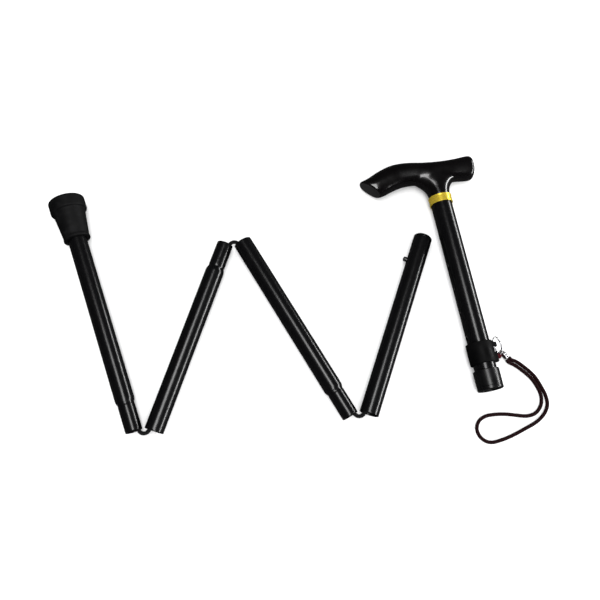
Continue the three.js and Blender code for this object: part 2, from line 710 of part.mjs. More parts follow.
buildLower();
buildMiddle("second", secondFrame, SECOND_LENGTH, lowerSide, secondSide);
buildMiddle("third", thirdFrame, THIRD_LENGTH, secondSide, thirdSide);
buildAdjust();
piece(section(thirdFrame), "cord_bridge_second", ELASTIC, cordBridge(secondSide, SECOND_FOLD));
piece(section(secondFrame), "cord_bridge_lower", ELASTIC, cordBridge(lowerSide, LOWER_FOLD));
const handleGroup = section(handleFrame);
buildHandle(handleGroup);
buildCollar(handleGroup);
buildStrap(handleGroup);

/** Moves everything so that the origin is on the floor, under the middle of all but the strap. */
function centreOnFloor() {
  const strap = ["wrist_strap", "strap_clasp", "strap_tail"];
  const box = new THREE.Box3();
  stick.updateMatrixWorld(true);
  stick.traverse((mesh) => {
    if (mesh.isMesh && !strap.includes(mesh.name)) box.expandByObject(mesh, true);
  });
  const middle = box.getCenter(new THREE.Vector3()).setZ(box.min.z);
  for (const group of stick.children) group.position.sub(middle);
}

centreOnFloor();

export default stick;
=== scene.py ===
"""The looks of a folding, height-adjustable walking stick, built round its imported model.

Every piece is modelled in its own section's frame, in millimetres, and placed in the model's frame, in
metres. In a section's frame +Z runs up the stick, +X to its right as it lies, and +Y down to the floor.
"""
import json
import logging
import math
from dataclasses import dataclass, field
from enum import Enum

import bpy
import numpy as np
from mathutils import Matrix, Vector


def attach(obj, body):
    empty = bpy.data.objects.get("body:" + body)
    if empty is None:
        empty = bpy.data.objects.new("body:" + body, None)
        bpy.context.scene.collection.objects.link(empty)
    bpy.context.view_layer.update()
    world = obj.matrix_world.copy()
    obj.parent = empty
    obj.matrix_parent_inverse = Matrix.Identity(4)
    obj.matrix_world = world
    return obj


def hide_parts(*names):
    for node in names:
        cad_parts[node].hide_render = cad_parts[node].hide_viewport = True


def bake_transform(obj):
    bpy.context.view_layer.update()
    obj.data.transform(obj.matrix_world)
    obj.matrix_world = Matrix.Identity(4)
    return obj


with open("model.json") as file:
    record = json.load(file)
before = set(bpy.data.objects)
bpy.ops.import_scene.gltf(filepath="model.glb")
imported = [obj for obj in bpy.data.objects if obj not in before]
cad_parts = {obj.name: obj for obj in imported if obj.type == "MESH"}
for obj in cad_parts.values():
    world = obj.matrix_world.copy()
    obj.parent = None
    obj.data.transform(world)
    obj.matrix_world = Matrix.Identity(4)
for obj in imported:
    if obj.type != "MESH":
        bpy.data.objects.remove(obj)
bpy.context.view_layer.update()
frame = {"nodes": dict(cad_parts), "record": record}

MM = 0.001
log = logging.getLogger("walking_stick")

Point = tuple[float, float, float]
Profile = list[tuple[float, float]]
Feed = float | tuple | bpy.types.NodeSocket


# ---- Where the sections lie ----


@dataclass(frozen=True)
class Placement:
    """A section's frame: where its foot is, and which way is up the stick and to its right."""

    origin: Vector
    up: Vector
    right: Vector

    def matrix(self) -> Matrix:
        """The matrix that takes millimetres in this frame to metres in the model's.

        Returns:
            The matrix.
        """
        down = self.up.cross(self.right)
        rows = zip(self.right * MM, down * MM, self.up * MM, self.origin)
        return Matrix([list(row) for row in rows]).to_4x4()

    def point(self, x: float, y: float, z: float) -> Vector:
        """A point of this frame, in metres in the model's frame."""
        return self.matrix() @ Vector((x, y, z))


@dataclass(frozen=True)
class Fold:
    """Where two sections hinge on their cord.

    It has a point of the hinge's axis, the direction from the mouth's centre to that point, the way up the
    section whose mouth it is, and the angle that the cord turns through.
    """

    pivot: Vector
    side: Vector
    up: Vector
    angle: float


class Layout:
    """The sections' frames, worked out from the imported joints.

    FOLD_OFFSET is how far a fold's axis is from the middle of the mouth, in metres.
    """

    FOLD_OFFSET = 10.0 * MM

    def __init__(self, record: dict) -> None:
        """Reads the joints and the foot's mount.

        Args:
            record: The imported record.
        """
        joints = {joint["name"]: joint for joint in record["behaviour"]["joints"]}
        axis = {name: Vector(joint["axis"]).normalized() for name, joint in joints.items()}
        right = axis["button_press"]
        adjust_up = Vector((-right.y, right.x, 0.0))
        ups = [adjust_up, axis["seat_third"], axis["seat_second"], axis["seat_lower"]]
        names = ("fold_third", "fold_second", "fold_lower")
        self.folds = {
            name: self._fold(joints[name], axis[name], up, next_up)
            for name, up, next_up in zip(names, ups, ups[1:])
        }
        self.adjust = self._section(self.folds["fold_third"], right)
        self.third = self._section(self.folds["fold_second"], self._level_right(ups[1]))
        self.second = self._section(self.folds["fold_lower"], self._level_right(ups[2]))
        foot = Vector(record["mounts"][0]["pos_m"])
        side = axis["fold_lower"].cross(ups[3]).normalized()
        self.lower = Placement(foot, ups[3], side)
        handle_up = -axis["height_slide"]
        self.handle = Placement(
            Vector(joints["collar_turn"]["pos_m"]), handle_up, self._level_right(handle_up)
        )

    @staticmethod
    def _level_right(up: Vector) -> Vector:
        """The direction to the right of a section that lies level."""
        return Vector((up.y, -up.x, 0.0)).normalized()

    @staticmethod
    def _fold(joint: dict, axis: Vector, up: Vector, next_up: Vector) -> Fold:
        """A fold from its joint and the headings of the sections that it joins."""
        side = axis.cross(up).normalized()
        return Fold(Vector(joint["pos_m"]), side, up, up.angle(next_up))

    def _section(self, fold: Fold, right: Vector) -> Placement:
        """The frame of the section whose mouth a fold is at."""
        return Placement(fold.pivot - fold.side * self.FOLD_OFFSET, fold.up, right)


# ---- Meshes ----


@dataclass
class Shape:
    """Points, faces, and each face corner's place on the unrolled surface, all in millimetres."""

    points: list[Point]
    faces: list[tuple[int, ...]]
    unrolled: list[tuple[float, float]] = field(default_factory=list)
    strand: list[float] = field(default_factory=list)


def rounded(corners: list[tuple[float, ...]], closed: bool = False, steps: int = 4) -> Profile:
    """A profile with rounded corners.

    Args:
        corners: Radius, height and, where the corner is rounded, how far back the rounding starts.
        closed: Whether the last corner joins the first.
        steps: The straight pieces in each rounding.

    Returns:
        The profile's points.
    """
    made: Profile = []
    count = len(corners)
    for i, corner in enumerate(corners):
        here = Vector(corner[:2])
        reach = corner[2] if len(corner) > 2 else 0.0
        if reach == 0 or (not closed and i in (0, count - 1)):
            made.append((here.x, here.y))
            continue
        sides = [Vector(corners[(i + k) % count][:2]) - here for k in (-1, 1)]
        a, b = (here + s.normalized() * min(reach, 0.48 * s.length) for s in sides)
        for k in range(steps + 1):
            t = k / steps
            p = a * (1 - t) ** 2 + here * (2 * t * (1 - t)) + b * t**2
            made.append((p.x, p.y))
    return made


def with_edge_rings(profile: Profile, margin: float = 1.2) -> Profile:
    """A profile with a point near each end of its long straight pieces, so that wear stays at the edges.

    Args:
        profile: The profile's points.
        margin: How far an added point is from its end. Pieces under four margins long stay whole.

    Returns:
        The profile with its added points.
    """
    made = profile[:1]
    for start, end in zip(profile, profile[1:]):
        a, b = Vector(start), Vector(end)
        if (b - a).length > 4 * margin:
            for share in (margin / (b - a).length, 1 - margin / (b - a).length):
                made.append(tuple(a.lerp(b, share)))
        made.append(end)
    return made


def lathed(profile: Profile, sides: int = 96, closed: bool = False) -> Shape:
    """A solid turned about Z.

    Args:
        profile: Radius and height of each point. An open profile starts and ends on the axis.
        sides: The straight pieces in the circle.
        closed: Whether the profile is a loop, as on a ring or a tube.

    Returns:
        The shape.
    """
    profile = with_edge_rings(profile)
    points: list[Point] = []
    rings: list[list[int]] = []
    along = [0.0]
    for (r0, z0), (r1, z1) in zip(profile, profile[1:]):
        along.append(along[-1] + math.hypot(r1 - r0, z1 - z0))
    for radius, height in profile:
        turns = 1 if radius < 1e-6 else sides
        rings.append(list(range(len(points), len(points) + turns)))
        for i in range(turns):
            a = 2 * math.pi * i / sides
            points.append((radius * math.cos(a), radius * math.sin(a), height))
    girth = 2 * math.pi * max(r for r, _ in profile)
    shape = Shape(points, [])
    last = len(rings) if closed else len(rings) - 1
    for k in range(last):
        low, high = rings[k], rings[(k + 1) % len(rings)]
        v0, v1 = along[k], along[k + 1] if k + 1 < len(along) else along[k]
        for i in range(sides):
            j = (i + 1) % sides
            u0, u1 = girth * i / sides, girth * (i + 1) / sides
            corners = [(low[i % len(low)], u0, v0), (low[j % len(low)], u1, v0)]
            corners += [(high[j % len(high)], u1, v1), (high[i % len(high)], u0, v1)]
            if len(low) == 1:
                corners.pop(1)
            elif len(high) == 1:
                corners.pop(2)
            if len(low) == len(high) == 1:
                continue
            shape.faces.append(tuple(c[0] for c in corners))
            shape.unrolled.extend((c[1], c[2]) for c in corners)
    return shape


def distances(path: np.ndarray) -> np.ndarray:
    """How far along a path each of its points is."""
    return np.concatenate([[0], np.cumsum(np.linalg.norm(np.diff(path, axis=0), axis=1))])


def path_length(path: np.ndarray) -> float:
    """A path's length."""
    return float(np.linalg.norm(np.diff(path, axis=0), axis=1).sum())


def swept(
    path: np.ndarray, radius: np.ndarray | float, sides: int, strand: np.ndarray | None = None
) -> Shape:
    """A round solid along a path.

    Args:
        path: The centreline's points, in millimetres.
        radius: One radius, or one for each point of each ring.
        sides: The points in a ring.
        strand: A number for each point of each ring that its colour follows, or nothing.

    Returns:
        The shape, closed at both ends.
    """
    count = len(path)
    radii = np.broadcast_to(np.asarray(radius, float), (count, sides))
    tangent = np.gradient(path, axis=0)
    tangent /= np.linalg.norm(tangent, axis=1)[:, None]
    normal = np.zeros_like(path)
    start = np.cross(tangent[0], [0.0, 0.0, 1.0])
    if np.linalg.norm(start) < 0.1:
        start = np.cross(tangent[0], [1.0, 0.0, 0.0])
    normal[0] = start / np.linalg.norm(start)
    for i in range(1, count):
        n = normal[i - 1] - tangent[i] * (normal[i - 1] @ tangent[i])
        normal[i] = n / np.linalg.norm(n)
    across = np.cross(tangent, normal)
    angle = 2 * np.pi * np.arange(sides) / sides
    ring = normal[:, None] * np.cos(angle)[None, :, None] + across[:, None] * np.sin(angle)[None, :, None]
    points = (path[:, None] + ring * radii[:, :, None]).reshape(-1, 3)
    along = distances(path)
    girth = 2 * math.pi * float(radii.mean())
    shape = Shape([tuple(p) for p in points], [])
    for k in range(count - 1):
        for i in range(sides):
            j = (i + 1) % sides
            a, b = k * sides, (k + 1) * sides
            shape.faces.append((a + i, a + j, b + j, b + i))
            u0, u1 = girth * i / sides, girth * (i + 1) / sides
            shape.unrolled += [(u0, along[k]), (u1, along[k]), (u1, along[k + 1]), (u0, along[k + 1])]
    for ends in (range(sides), range((count - 1) * sides, count * sides)):
        shape.faces.append(tuple(ends))
        shape.unrolled += [(0.0, 0.0)] * sides
    if strand is not None:
        shape.strand = [float(s) for s in strand.ravel()]
    return shape


def eased(
    t: np.ndarray, start: np.ndarray, end: np.ndarray, leaving: np.ndarray, arriving: np.ndarray
) -> np.ndarray:
    """A cubic curve between two values.

    Args:
        t: How far along the curve, from 0 to 1.
        start: The first value.
        end: The last value.
        leaving: The slope at the first value.
        arriving: The slope at the last value.

    Returns:
        The values at t.
    """
    return (
        (2 * t**3 - 3 * t**2 + 1) * start + (t**3 - 2 * t**2 + t) * leaving
        + (3 * t**2 - 2 * t**3) * end + (t**3 - t**2) * arriving
    )


def smooth_path(points: list[Point] | np.ndarray, step: float) -> np.ndarray:
    """A centripetal curve through points, with points a step apart along it.

    Args:
        points: The points that the curve goes through, in millimetres.
        step: The distance between the returned points.

    Returns:
        The curve's points.
    """
    p = np.asarray(points, float)
    p = np.vstack([2 * p[0] - p[1], p, 2 * p[-1] - p[-2]])
    t = np.linspace(0, 1, 40, endpoint=False)[:, None]
    dense = []
    for i in range(1, len(p) - 2):
        p0, p1, p2, p3 = p[i - 1 : i + 3]
        k0, k1, k2 = (max(np.linalg.norm(b - a), 1e-9) ** 0.5 for a, b in ((p0, p1), (p1, p2), (p2, p3)))
        m1 = ((p1 - p0) / k0 - (p2 - p0) / (k0 + k1) + (p2 - p1) / k1) * k1
        m2 = ((p2 - p1) / k1 - (p3 - p1) / (k1 + k2) + (p3 - p2) / k2) * k1
        dense.append(eased(t, p1, p2, m1, m2))
    line = np.vstack([*dense, p[-2:-1]])
    along = distances(line)
    at = np.linspace(0, along[-1], max(3, round(along[-1] / step) + 1))
    return np.stack([np.interp(at, along, line[:, k]) for k in range(3)], axis=1)


def box_shape(low: Point, high: Point) -> Shape:
    """A box between two corners.

    Args:
        low: The corner with the least of each measure.
        high: The corner with the most.

    Returns:
        The shape.
    """
    points = [(x, y, z) for x in (low[0], high[0]) for y in (low[1], high[1]) for z in (low[2], high[2])]
    faces = [(0, 1, 3, 2), (4, 6, 7, 5), (0, 4, 5, 1), (2, 3, 7, 6), (0, 2, 6, 4), (1, 5, 7, 3)]
    return Shape(points, faces)


def shifted(shape: Shape, matrix: Matrix) -> Shape:
    """A shape moved by a matrix."""
    moved = [tuple(matrix @ Vector(p)) for p in shape.points]
    return Shape(moved, shape.faces, shape.unrolled, shape.strand)


def cross_rod(radius: float, start: float, end: float, height: float, sides: int = 40) -> Shape:
    """A rod along X at a height.

    Args:
        radius: The rod's radius.
        start: Where it starts along X.
        end: Where it ends.
        height: The height of its middle.
        sides: The straight pieces in its circle.

    Returns:
        The shape.
    """
    rod = lathed([(0, start), (radius, start), (radius, end), (0, end)], sides)
    return shifted(rod, Matrix.Translation((0, 0, height)) @ Matrix.Rotation(math.pi / 2, 4, "Y"))


class Carve(Enum):
    """What shapes do to the object that they are combined with."""

    CUT = "DIFFERENCE"
    JOIN = "UNION"


class Bench:
    """Turns shapes into Blender objects, and joins and cuts them."""

    @staticmethod
    def mesh_object(name: str, shape: Shape) -> bpy.types.Object:
        """A new object with a shape's mesh, its faces turned outwards.

        Args:
            name: The object's name.
            shape: The shape.

        Returns:
            The object, in millimetres in its section's frame.
        """
        mesh = bpy.data.meshes.new(name)
        mesh.from_pydata(shape.points, [], shape.faces)
        if shape.unrolled:
            layer = mesh.uv_layers.new(name="unrolled")
            layer.data.foreach_set("uv", np.array(shape.unrolled, np.float32).ravel() * MM)
        if shape.strand:
            mesh.attributes.new("strand", "FLOAT", "POINT").data.foreach_set("value", shape.strand)
        mesh.validate()
        made = bpy.data.objects.new(name, mesh)
        bpy.context.scene.collection.objects.link(made)
        return made

    @staticmethod
    def applied(target: bpy.types.Object) -> bpy.types.Object:
        """Replaces an object's mesh with what its modifiers make of it.

        Args:
            target: The object.

        Returns:
            The same object, with no modifiers left.
        """
        depsgraph = bpy.context.evaluated_depsgraph_get()
        mesh = bpy.data.meshes.new_from_object(target.evaluated_get(depsgraph))
        target.modifiers.clear()
        target.data = mesh
        return target

    @classmethod
    def combined(cls, target: bpy.types.Object, operation: Carve, *shapes: Shape) -> bpy.types.Object:
        """Cuts shapes from an object, or joins them to it.

        Args:
            target: The object that is changed.
            operation: Whether they cut or join.
            shapes: The tools, in the same frame.

        Returns:
            The target.
        """
        tools = [cls.mesh_object(f"{target.name}_tool", shape) for shape in shapes]
        for tool in tools:
            modifier = target.modifiers.new("carve", "BOOLEAN")
            modifier.object, modifier.operation, modifier.solver = tool, operation.value, "EXACT"
        cls.applied(target)
        for tool in tools:
            bpy.data.objects.remove(tool)
        return target

    @staticmethod
    def shaded(target: bpy.types.Object, sharp: float) -> None:
        """Shades a mesh smooth, apart from edges sharper than an angle in degrees."""
        target.data.shade_smooth()
        target.data.set_sharp_from_angle(angle=math.radians(sharp))


# ---- Material parts ----


class Sheet:
    """Adds nodes to a node tree and joins them up."""

    def __init__(self, tree: bpy.types.NodeTree) -> None:
        """Keeps the tree.

        Args:
            tree: The material's or the group's node tree.
        """
        self.tree = tree

    def node(self, kind: str, feeds: dict | None = None, **settings: object) -> bpy.types.Node:
        """Adds a node.

        Args:
            kind: The node's type name.
            feeds: What each input gets, by name or number.
            settings: The node's own properties.

        Returns:
            The node.
        """
        made = self.tree.nodes.new(kind)
        for key, value in settings.items():
            setattr(made, key, value)
        for key, value in (feeds or {}).items():
            self.feed(made.inputs[key], value)
        return made

    def feed(self, socket: bpy.types.NodeSocket, value: Feed) -> None:
        """Links a socket to another, or sets its value.

        Args:
            socket: The input.
            value: The output to link it to, or its value.
        """
        if isinstance(value, bpy.types.NodeSocket):
            self.tree.links.new(value, socket)
        else:
            socket.default_value = value

    def sum(self, operation: str, *values: Feed, clamp: bool = False) -> bpy.types.NodeSocket:
        """The result of a Math node."""
        made = self.node("ShaderNodeMath", dict(enumerate(values)), operation=operation, use_clamp=clamp)
        return made.outputs[0]

    def spread(
        self, value: Feed, low: float, high: float, to_low: float = 0.0, to_high: float = 1.0
    ) -> bpy.types.NodeSocket:
        """A value's range mapped smoothly onto another."""
        feeds = {"Value": value, 1: low, 2: high, 3: to_low, 4: to_high}
        return self.node("ShaderNodeMapRange", feeds, interpolation_type="SMOOTHSTEP").outputs[0]

    def blend(self, share: Feed, first: Feed, second: Feed) -> bpy.types.NodeSocket:
        """One colour turning into another."""
        made = self.node("ShaderNodeMix", {0: share, 6: first, 7: second}, data_type="RGBA")
        return made.outputs[2]

    def noise(self, vector: Feed, scale: Feed, detail: float = 4.0) -> bpy.types.NodeSocket:
        """The value of a noise texture."""
        feeds = {"Vector": vector, "Scale": scale, "Detail": detail}
        return self.node("ShaderNodeTexNoise", feeds).outputs[0]

    def stretched(self, vector: Feed, scale: Point) -> bpy.types.NodeSocket:
        """A vector scaled along each axis."""
        feeds = {0: vector, 1: scale}
        return self.node("ShaderNodeVectorMath", feeds, operation="MULTIPLY").outputs[0]


class Effect(Enum):
    """The shared surface effects, each a node group that is built once."""

    GRAIN = "grain"
    EDGE_WEAR = "edge_wear"
    SCUFFS = "scuffs"
    DUST = "dust"
    WEAVE = "weave"


class Effects:
    """Builds the shared node groups and places them in materials."""

    _made: dict[Effect, bpy.types.NodeTree] = {}

    @classmethod
    def place(cls, sheet: Sheet, effect: Effect, **values: Feed) -> bpy.types.NodeSocket:
        """Adds an effect to a material.

        Args:
            sheet: The material's nodes.
            effect: Which effect.
            values: The group's inputs, by name in lower case.

        Returns:
            The group's one output.
        """
        if effect not in cls._made:
            cls._made[effect] = getattr(cls, f"_{effect.value}")()
        made = sheet.node("ShaderNodeGroup", node_tree=cls._made[effect])
        for key, value in values.items():
            sheet.feed(made.inputs[key.capitalize()], value)
        return made.outputs[0]

    @staticmethod
    def _group(name: str, floats: dict[str, float], result: str) -> tuple[Sheet, dict, bpy.types.Node]:
        """An empty group with a vector input, named numbers and one output.

        Args:
            name: The group's name.
            floats: The default of each input number, by name.
            result: The output's name.

        Returns:
            The group's nodes, its inputs by name, and its output node.
        """
        tree = bpy.data.node_groups.new(name, "ShaderNodeTree")
        tree.interface.new_socket("Vector", in_out="INPUT", socket_type="NodeSocketVector")
        for key, value in floats.items():
            made = tree.interface.new_socket(key, in_out="INPUT", socket_type="NodeSocketFloat")
            made.default_value = value
        tree.interface.new_socket(result, in_out="OUTPUT", socket_type="NodeSocketFloat")
        sheet = Sheet(tree)
        entry = sheet.node("NodeGroupInput")
        return sheet, {s.name: s for s in entry.outputs if s.name}, sheet.node("NodeGroupOutput")

    @classmethod
    def _grain(cls) -> bpy.types.NodeTree:
        """Coarse and fine mottling, as a height.

        Returns:
            The group.
        """
        sheet, given, out = cls._group("grain", {"Scale": 500.0, "Fineness": 6.0}, "Height")
        coarse = sheet.noise(given["Vector"], given["Scale"], 3.0)
        fine = sheet.noise(given["Vector"], sheet.sum("MULTIPLY", given["Scale"], given["Fineness"]), 2.0)
        fine_share, coarse_share = 0.35, 0.65
        mixed = sheet.sum("MULTIPLY_ADD", fine, fine_share, sheet.sum("MULTIPLY", coarse, coarse_share))
        sheet.feed(out.inputs[0], mixed)
        return sheet.tree

    @classmethod
    def _edge_wear(cls) -> bpy.types.NodeTree:
        """Where a finish has rubbed through on outside edges, as a mask.

        Returns:
            The group.
        """
        sheet, given, out = cls._group("edge_wear", {"Scale": 300.0, "Start": 0.53, "Amount": 1.0}, "Mask")
        pointed = sheet.node("ShaderNodeNewGeometry").outputs["Pointiness"]
        ragged = sheet.noise(given["Vector"], given["Scale"], 5.0)
        raggedness, steepness = 0.12, 14.0
        lifted = sheet.sum("MULTIPLY_ADD", sheet.sum("SUBTRACT", ragged, 0.5), raggedness, pointed)
        over = sheet.sum("MULTIPLY", sheet.sum("SUBTRACT", lifted, given["Start"]), steepness, clamp=True)
        sheet.feed(out.inputs[0], sheet.sum("MULTIPLY", over, given["Amount"]))
        return sheet.tree

    @classmethod
    def _scuffs(cls) -> bpy.types.NodeTree:
        """Fine scratches that run with the vector's second axis, as a mask.

        Returns:
            The group.
        """
        sheet, given, out = cls._group("scuffs", {"Scale": 1500.0, "Length": 0.04, "Amount": 1.0}, "Mask")
        parts = sheet.node("ShaderNodeSeparateXYZ", {0: given["Vector"]})
        drawn = sheet.sum("MULTIPLY", parts.outputs[1], given["Length"])
        line = sheet.node("ShaderNodeCombineXYZ", {0: parts.outputs[0], 1: drawn, 2: parts.outputs[2]})
        streak = sheet.noise(line.outputs[0], given["Scale"], 2.0)
        where = sheet.noise(given["Vector"], 60.0, 2.0)
        cut = sheet.spread(streak, 0.6, 0.72)
        kept = sheet.sum("MULTIPLY", cut, sheet.spread(where, 0.42, 0.68))
        sheet.feed(out.inputs[0], sheet.sum("MULTIPLY", kept, given["Amount"]))
        return sheet.tree

    @classmethod
    def _dust(cls) -> bpy.types.NodeTree:
        """Specks and a light film, as a mask.

        Returns:
            The group.
        """
        sheet, given, out = cls._group("dust", {"Scale": 900.0, "Amount": 1.0}, "Mask")
        specks = sheet.spread(sheet.noise(given["Vector"], given["Scale"], 1.0), 0.7, 0.78)
        film = sheet.spread(sheet.noise(given["Vector"], 45.0, 5.0), 0.4, 0.75, 0.0, 0.25)
        sheet.feed(out.inputs[0], sheet.sum("MULTIPLY", sheet.sum("ADD", specks, film), given["Amount"]))
        return sheet.tree

    @classmethod
    def _weave(cls) -> bpy.types.NodeTree:
        """Two sets of slanting threads that cross, as a height.

        Returns:
            The group.
        """
        sheet, given, out = cls._group("weave", {"Scale": 4000.0}, "Height")
        parts = sheet.node("ShaderNodeSeparateXYZ", {0: given["Vector"]})
        waves = []
        for operation in ("ADD", "SUBTRACT"):
            slanted = sheet.sum(operation, parts.outputs[0], parts.outputs[1])
            raised = sheet.sum("ADD", slanted, parts.outputs[2]) if operation == "ADD" else slanted
            waves.append(sheet.sum("SINE", sheet.sum("MULTIPLY", raised, given["Scale"])))
        sheet.feed(out.inputs[0], sheet.sum("MAXIMUM", *waves))
        return sheet.tree


# ---- Finishes ----


@dataclass(frozen=True)
class Finish:
    """What every finish has: a name, a colour as linear red, green and blue, and how rough it is."""

    name: str
    colour: Point
    roughness: float

    def material(self) -> bpy.types.Material:
        """The finish's material, made the first time it is asked for.

        Returns:
            The material.
        """
        known = bpy.data.materials.get(self.name)
        if known:
            return known
        made = bpy.data.materials.new(self.name)
        made.use_nodes = True
        made.node_tree.nodes.clear()
        made.diffuse_color = (*self.colour, 1.0)
        sheet = Sheet(made.node_tree)
        shader = sheet.node("ShaderNodeBsdfPrincipled", {"Roughness": self.roughness})
        sheet.feed(shader.inputs["Base Color"], (*self.colour, 1.0))
        self.dress(sheet, shader)
        out = sheet.node("ShaderNodeOutputMaterial")
        sheet.feed(out.inputs["Surface"], shader.outputs[0])
        return made

    def dress(self, sheet: Sheet, shader: bpy.types.Node) -> None:
        """Adds the finish's own detail to its shader.

        Args:
            sheet: The material's nodes.
            shader: The material's main shader.
        """
        raise NotImplementedError

    @staticmethod
    def place(sheet: Sheet) -> bpy.types.NodeSocket:
        """The point on the piece, which stays with the piece as it moves."""
        return sheet.node("ShaderNodeTexCoord").outputs["Object"]

    @staticmethod
    def unrolled(sheet: Sheet) -> bpy.types.NodeSocket:
        """The place on the piece's unrolled surface, in metres."""
        return sheet.node("ShaderNodeUVMap", uv_map="unrolled").outputs[0]

    @staticmethod
    def bump(sheet: Sheet, shader: bpy.types.Node, height: Feed, depth: float) -> None:
        """Raises the surface by a height, with its full depth in metres."""
        made = sheet.node("ShaderNodeBump", {"Strength": 1.0, "Distance": depth, "Height": height})
        sheet.feed(shader.inputs["Normal"], made.outputs[0])

    @staticmethod
    def tint(colour: Point, times: float) -> tuple[float, float, float, float]:
        """A colour made lighter or darker."""
        return (*(min(1.0, c * times) for c in colour), 1.0)


@dataclass(frozen=True)
class Lacquer(Finish):
    """Glossy stoved lacquer over aluminium, with slight orange peel and bare metal on worn edges."""

    peel: float = 0.000012
    scuffed: float = 0.6
    bare: Point = (0.30, 0.30, 0.31)
    dust: Point = (0.35, 0.34, 0.32)

    def dress(self, sheet: Sheet, shader: bpy.types.Node) -> None:
        """Adds orange peel, scuffs along the tube, edge wear and dust.

        Args:
            sheet: The material's nodes.
            shader: The material's main shader.
        """
        where, along = self.place(sheet), self.unrolled(sheet)
        peel = Effects.place(sheet, Effect.GRAIN, vector=where, scale=420.0, fineness=4.0)
        scuffs = Effects.place(
            sheet, Effect.SCUFFS, vector=along, scale=2600.0, length=0.03, amount=self.scuffed
        )
        worn = Effects.place(sheet, Effect.EDGE_WEAR, vector=where, scale=700.0, start=0.6, amount=0.4)
        specks = Effects.place(sheet, Effect.DUST, vector=where, scale=1100.0, amount=0.008)
        mottled = sheet.blend(peel, self.tint(self.colour, 0.7), self.tint(self.colour, 1.5))
        dusty = sheet.blend(specks, mottled, (*self.dust, 1.0))
        sheet.feed(shader.inputs["Base Color"], sheet.blend(worn, dusty, (*self.bare, 1.0)))
        sheet.feed(shader.inputs["Metallic"], worn)
        base = sheet.spread(peel, 0.3, 0.7, self.roughness * 0.88, self.roughness * 1.12)
        sheet.feed(shader.inputs["Roughness"], sheet.sum("MULTIPLY_ADD", scuffs, 0.22, base))
        shader.inputs["Specular IOR Level"].default_value = 0.5
        self.bump(sheet, shader, sheet.sum("MULTIPLY_ADD", scuffs, -0.3, peel), self.peel)


@dataclass(frozen=True)
class Moulded(Finish):
    """A plastic moulding: fine spark texture, hand-rubbed patches and slightly pale edges."""

    texture: float = 2400.0
    depth: float = 0.00002
    polish: float = 0.25
    coat: float = 0.0
    shine: float = 0.5
    dust: Point = (0.4, 0.39, 0.37)

    def dress(self, sheet: Sheet, shader: bpy.types.Node) -> None:
        """Adds the texture, rubbed patches, pale edges and dust.

        Args:
            sheet: The material's nodes.
            shader: The material's main shader.
        """
        where = self.place(sheet)
        grain = Effects.place(sheet, Effect.GRAIN, vector=where, scale=self.texture, fineness=3.0)
        rubbed = sheet.noise(where, 55.0, 4.0)
        edge = Effects.place(sheet, Effect.EDGE_WEAR, vector=where, scale=500.0, start=0.56, amount=0.3)
        specks = Effects.place(sheet, Effect.DUST, vector=where, scale=1300.0, amount=0.006)
        base = sheet.blend(rubbed, self.tint(self.colour, 0.75), self.tint(self.colour, 1.35))
        edged = sheet.blend(edge, base, self.tint(self.colour, 4.0))
        sheet.feed(shader.inputs["Base Color"], sheet.blend(specks, edged, (*self.dust, 1.0)))
        low, high = self.roughness * (1 - self.polish), self.roughness * (1 + self.polish)
        sheet.feed(shader.inputs["Roughness"], sheet.spread(rubbed, 0.3, 0.7, low, high))
        shader.inputs["Specular IOR Level"].default_value = self.shine
        shader.inputs["Coat Weight"].default_value = self.coat
        shader.inputs["Coat Roughness"].default_value = 0.06
        self.bump(sheet, shader, grain, self.depth)


@dataclass(frozen=True)
class Rubber(Finish):
    """Matt moulded rubber with a pale bloom and rubbed edges."""

    bloom: Point = (0.018, 0.018, 0.019)
    shine: float = 0.16

    def dress(self, sheet: Sheet, shader: bpy.types.Node) -> None:
        """Adds pores, bloom and edge wear.

        Args:
            sheet: The material's nodes.
            shader: The material's main shader.
        """
        where = self.place(sheet)
        pores = Effects.place(sheet, Effect.GRAIN, vector=where, scale=1600.0, fineness=3.0)
        patches = sheet.spread(sheet.noise(where, 120.0, 6.0), 0.45, 0.8, 0.0, 0.22)
        edge = Effects.place(sheet, Effect.EDGE_WEAR, vector=where, scale=600.0, start=0.57, amount=0.35)
        bloomed = sheet.blend(patches, (*self.colour, 1.0), (*self.bloom, 1.0))
        sheet.feed(shader.inputs["Base Color"], sheet.blend(edge, bloomed, (*self.bloom, 1.0)))
        rough = sheet.spread(pores, 0.3, 0.7, self.roughness - 0.1, self.roughness)
        sheet.feed(shader.inputs["Roughness"], rough)
        shader.inputs["Specular IOR Level"].default_value = self.shine
        self.bump(sheet, shader, pores, 0.00012)


@dataclass(frozen=True)
class Metal(Finish):
    """Brushed or drawn metal, with streaks round the piece and darker tarnished patches."""

    streaks: float = 5000.0
    tarnish: Point = (0.2, 0.12, 0.04)
    tarnished: float = 0.3
    metallic: float = 1.0

    def dress(self, sheet: Sheet, shader: bpy.types.Node) -> None:
        """Adds brushing, tarnish and uneven polish.

        Args:
            sheet: The material's nodes.
            shader: The material's main shader.
        """
        where, along = self.place(sheet), self.unrolled(sheet)
        brushed = sheet.noise(sheet.stretched(along, (0.02, 1.0, 1.0)), self.streaks, 3.0)
        patches = sheet.spread(sheet.noise(where, 260.0, 5.0), 0.45, 0.8, 0.0, self.tarnished)
        colour = sheet.blend(patches, (*self.colour, 1.0), (*self.tarnish, 1.0))
        sheet.feed(shader.inputs["Base Color"], colour)
        shader.inputs["Metallic"].default_value = self.metallic
        low, high = self.roughness * 0.7, self.roughness * 1.35
        sheet.feed(shader.inputs["Roughness"], sheet.spread(brushed, 0.3, 0.7, low, high))
        self.bump(sheet, shader, brushed, 0.000012)


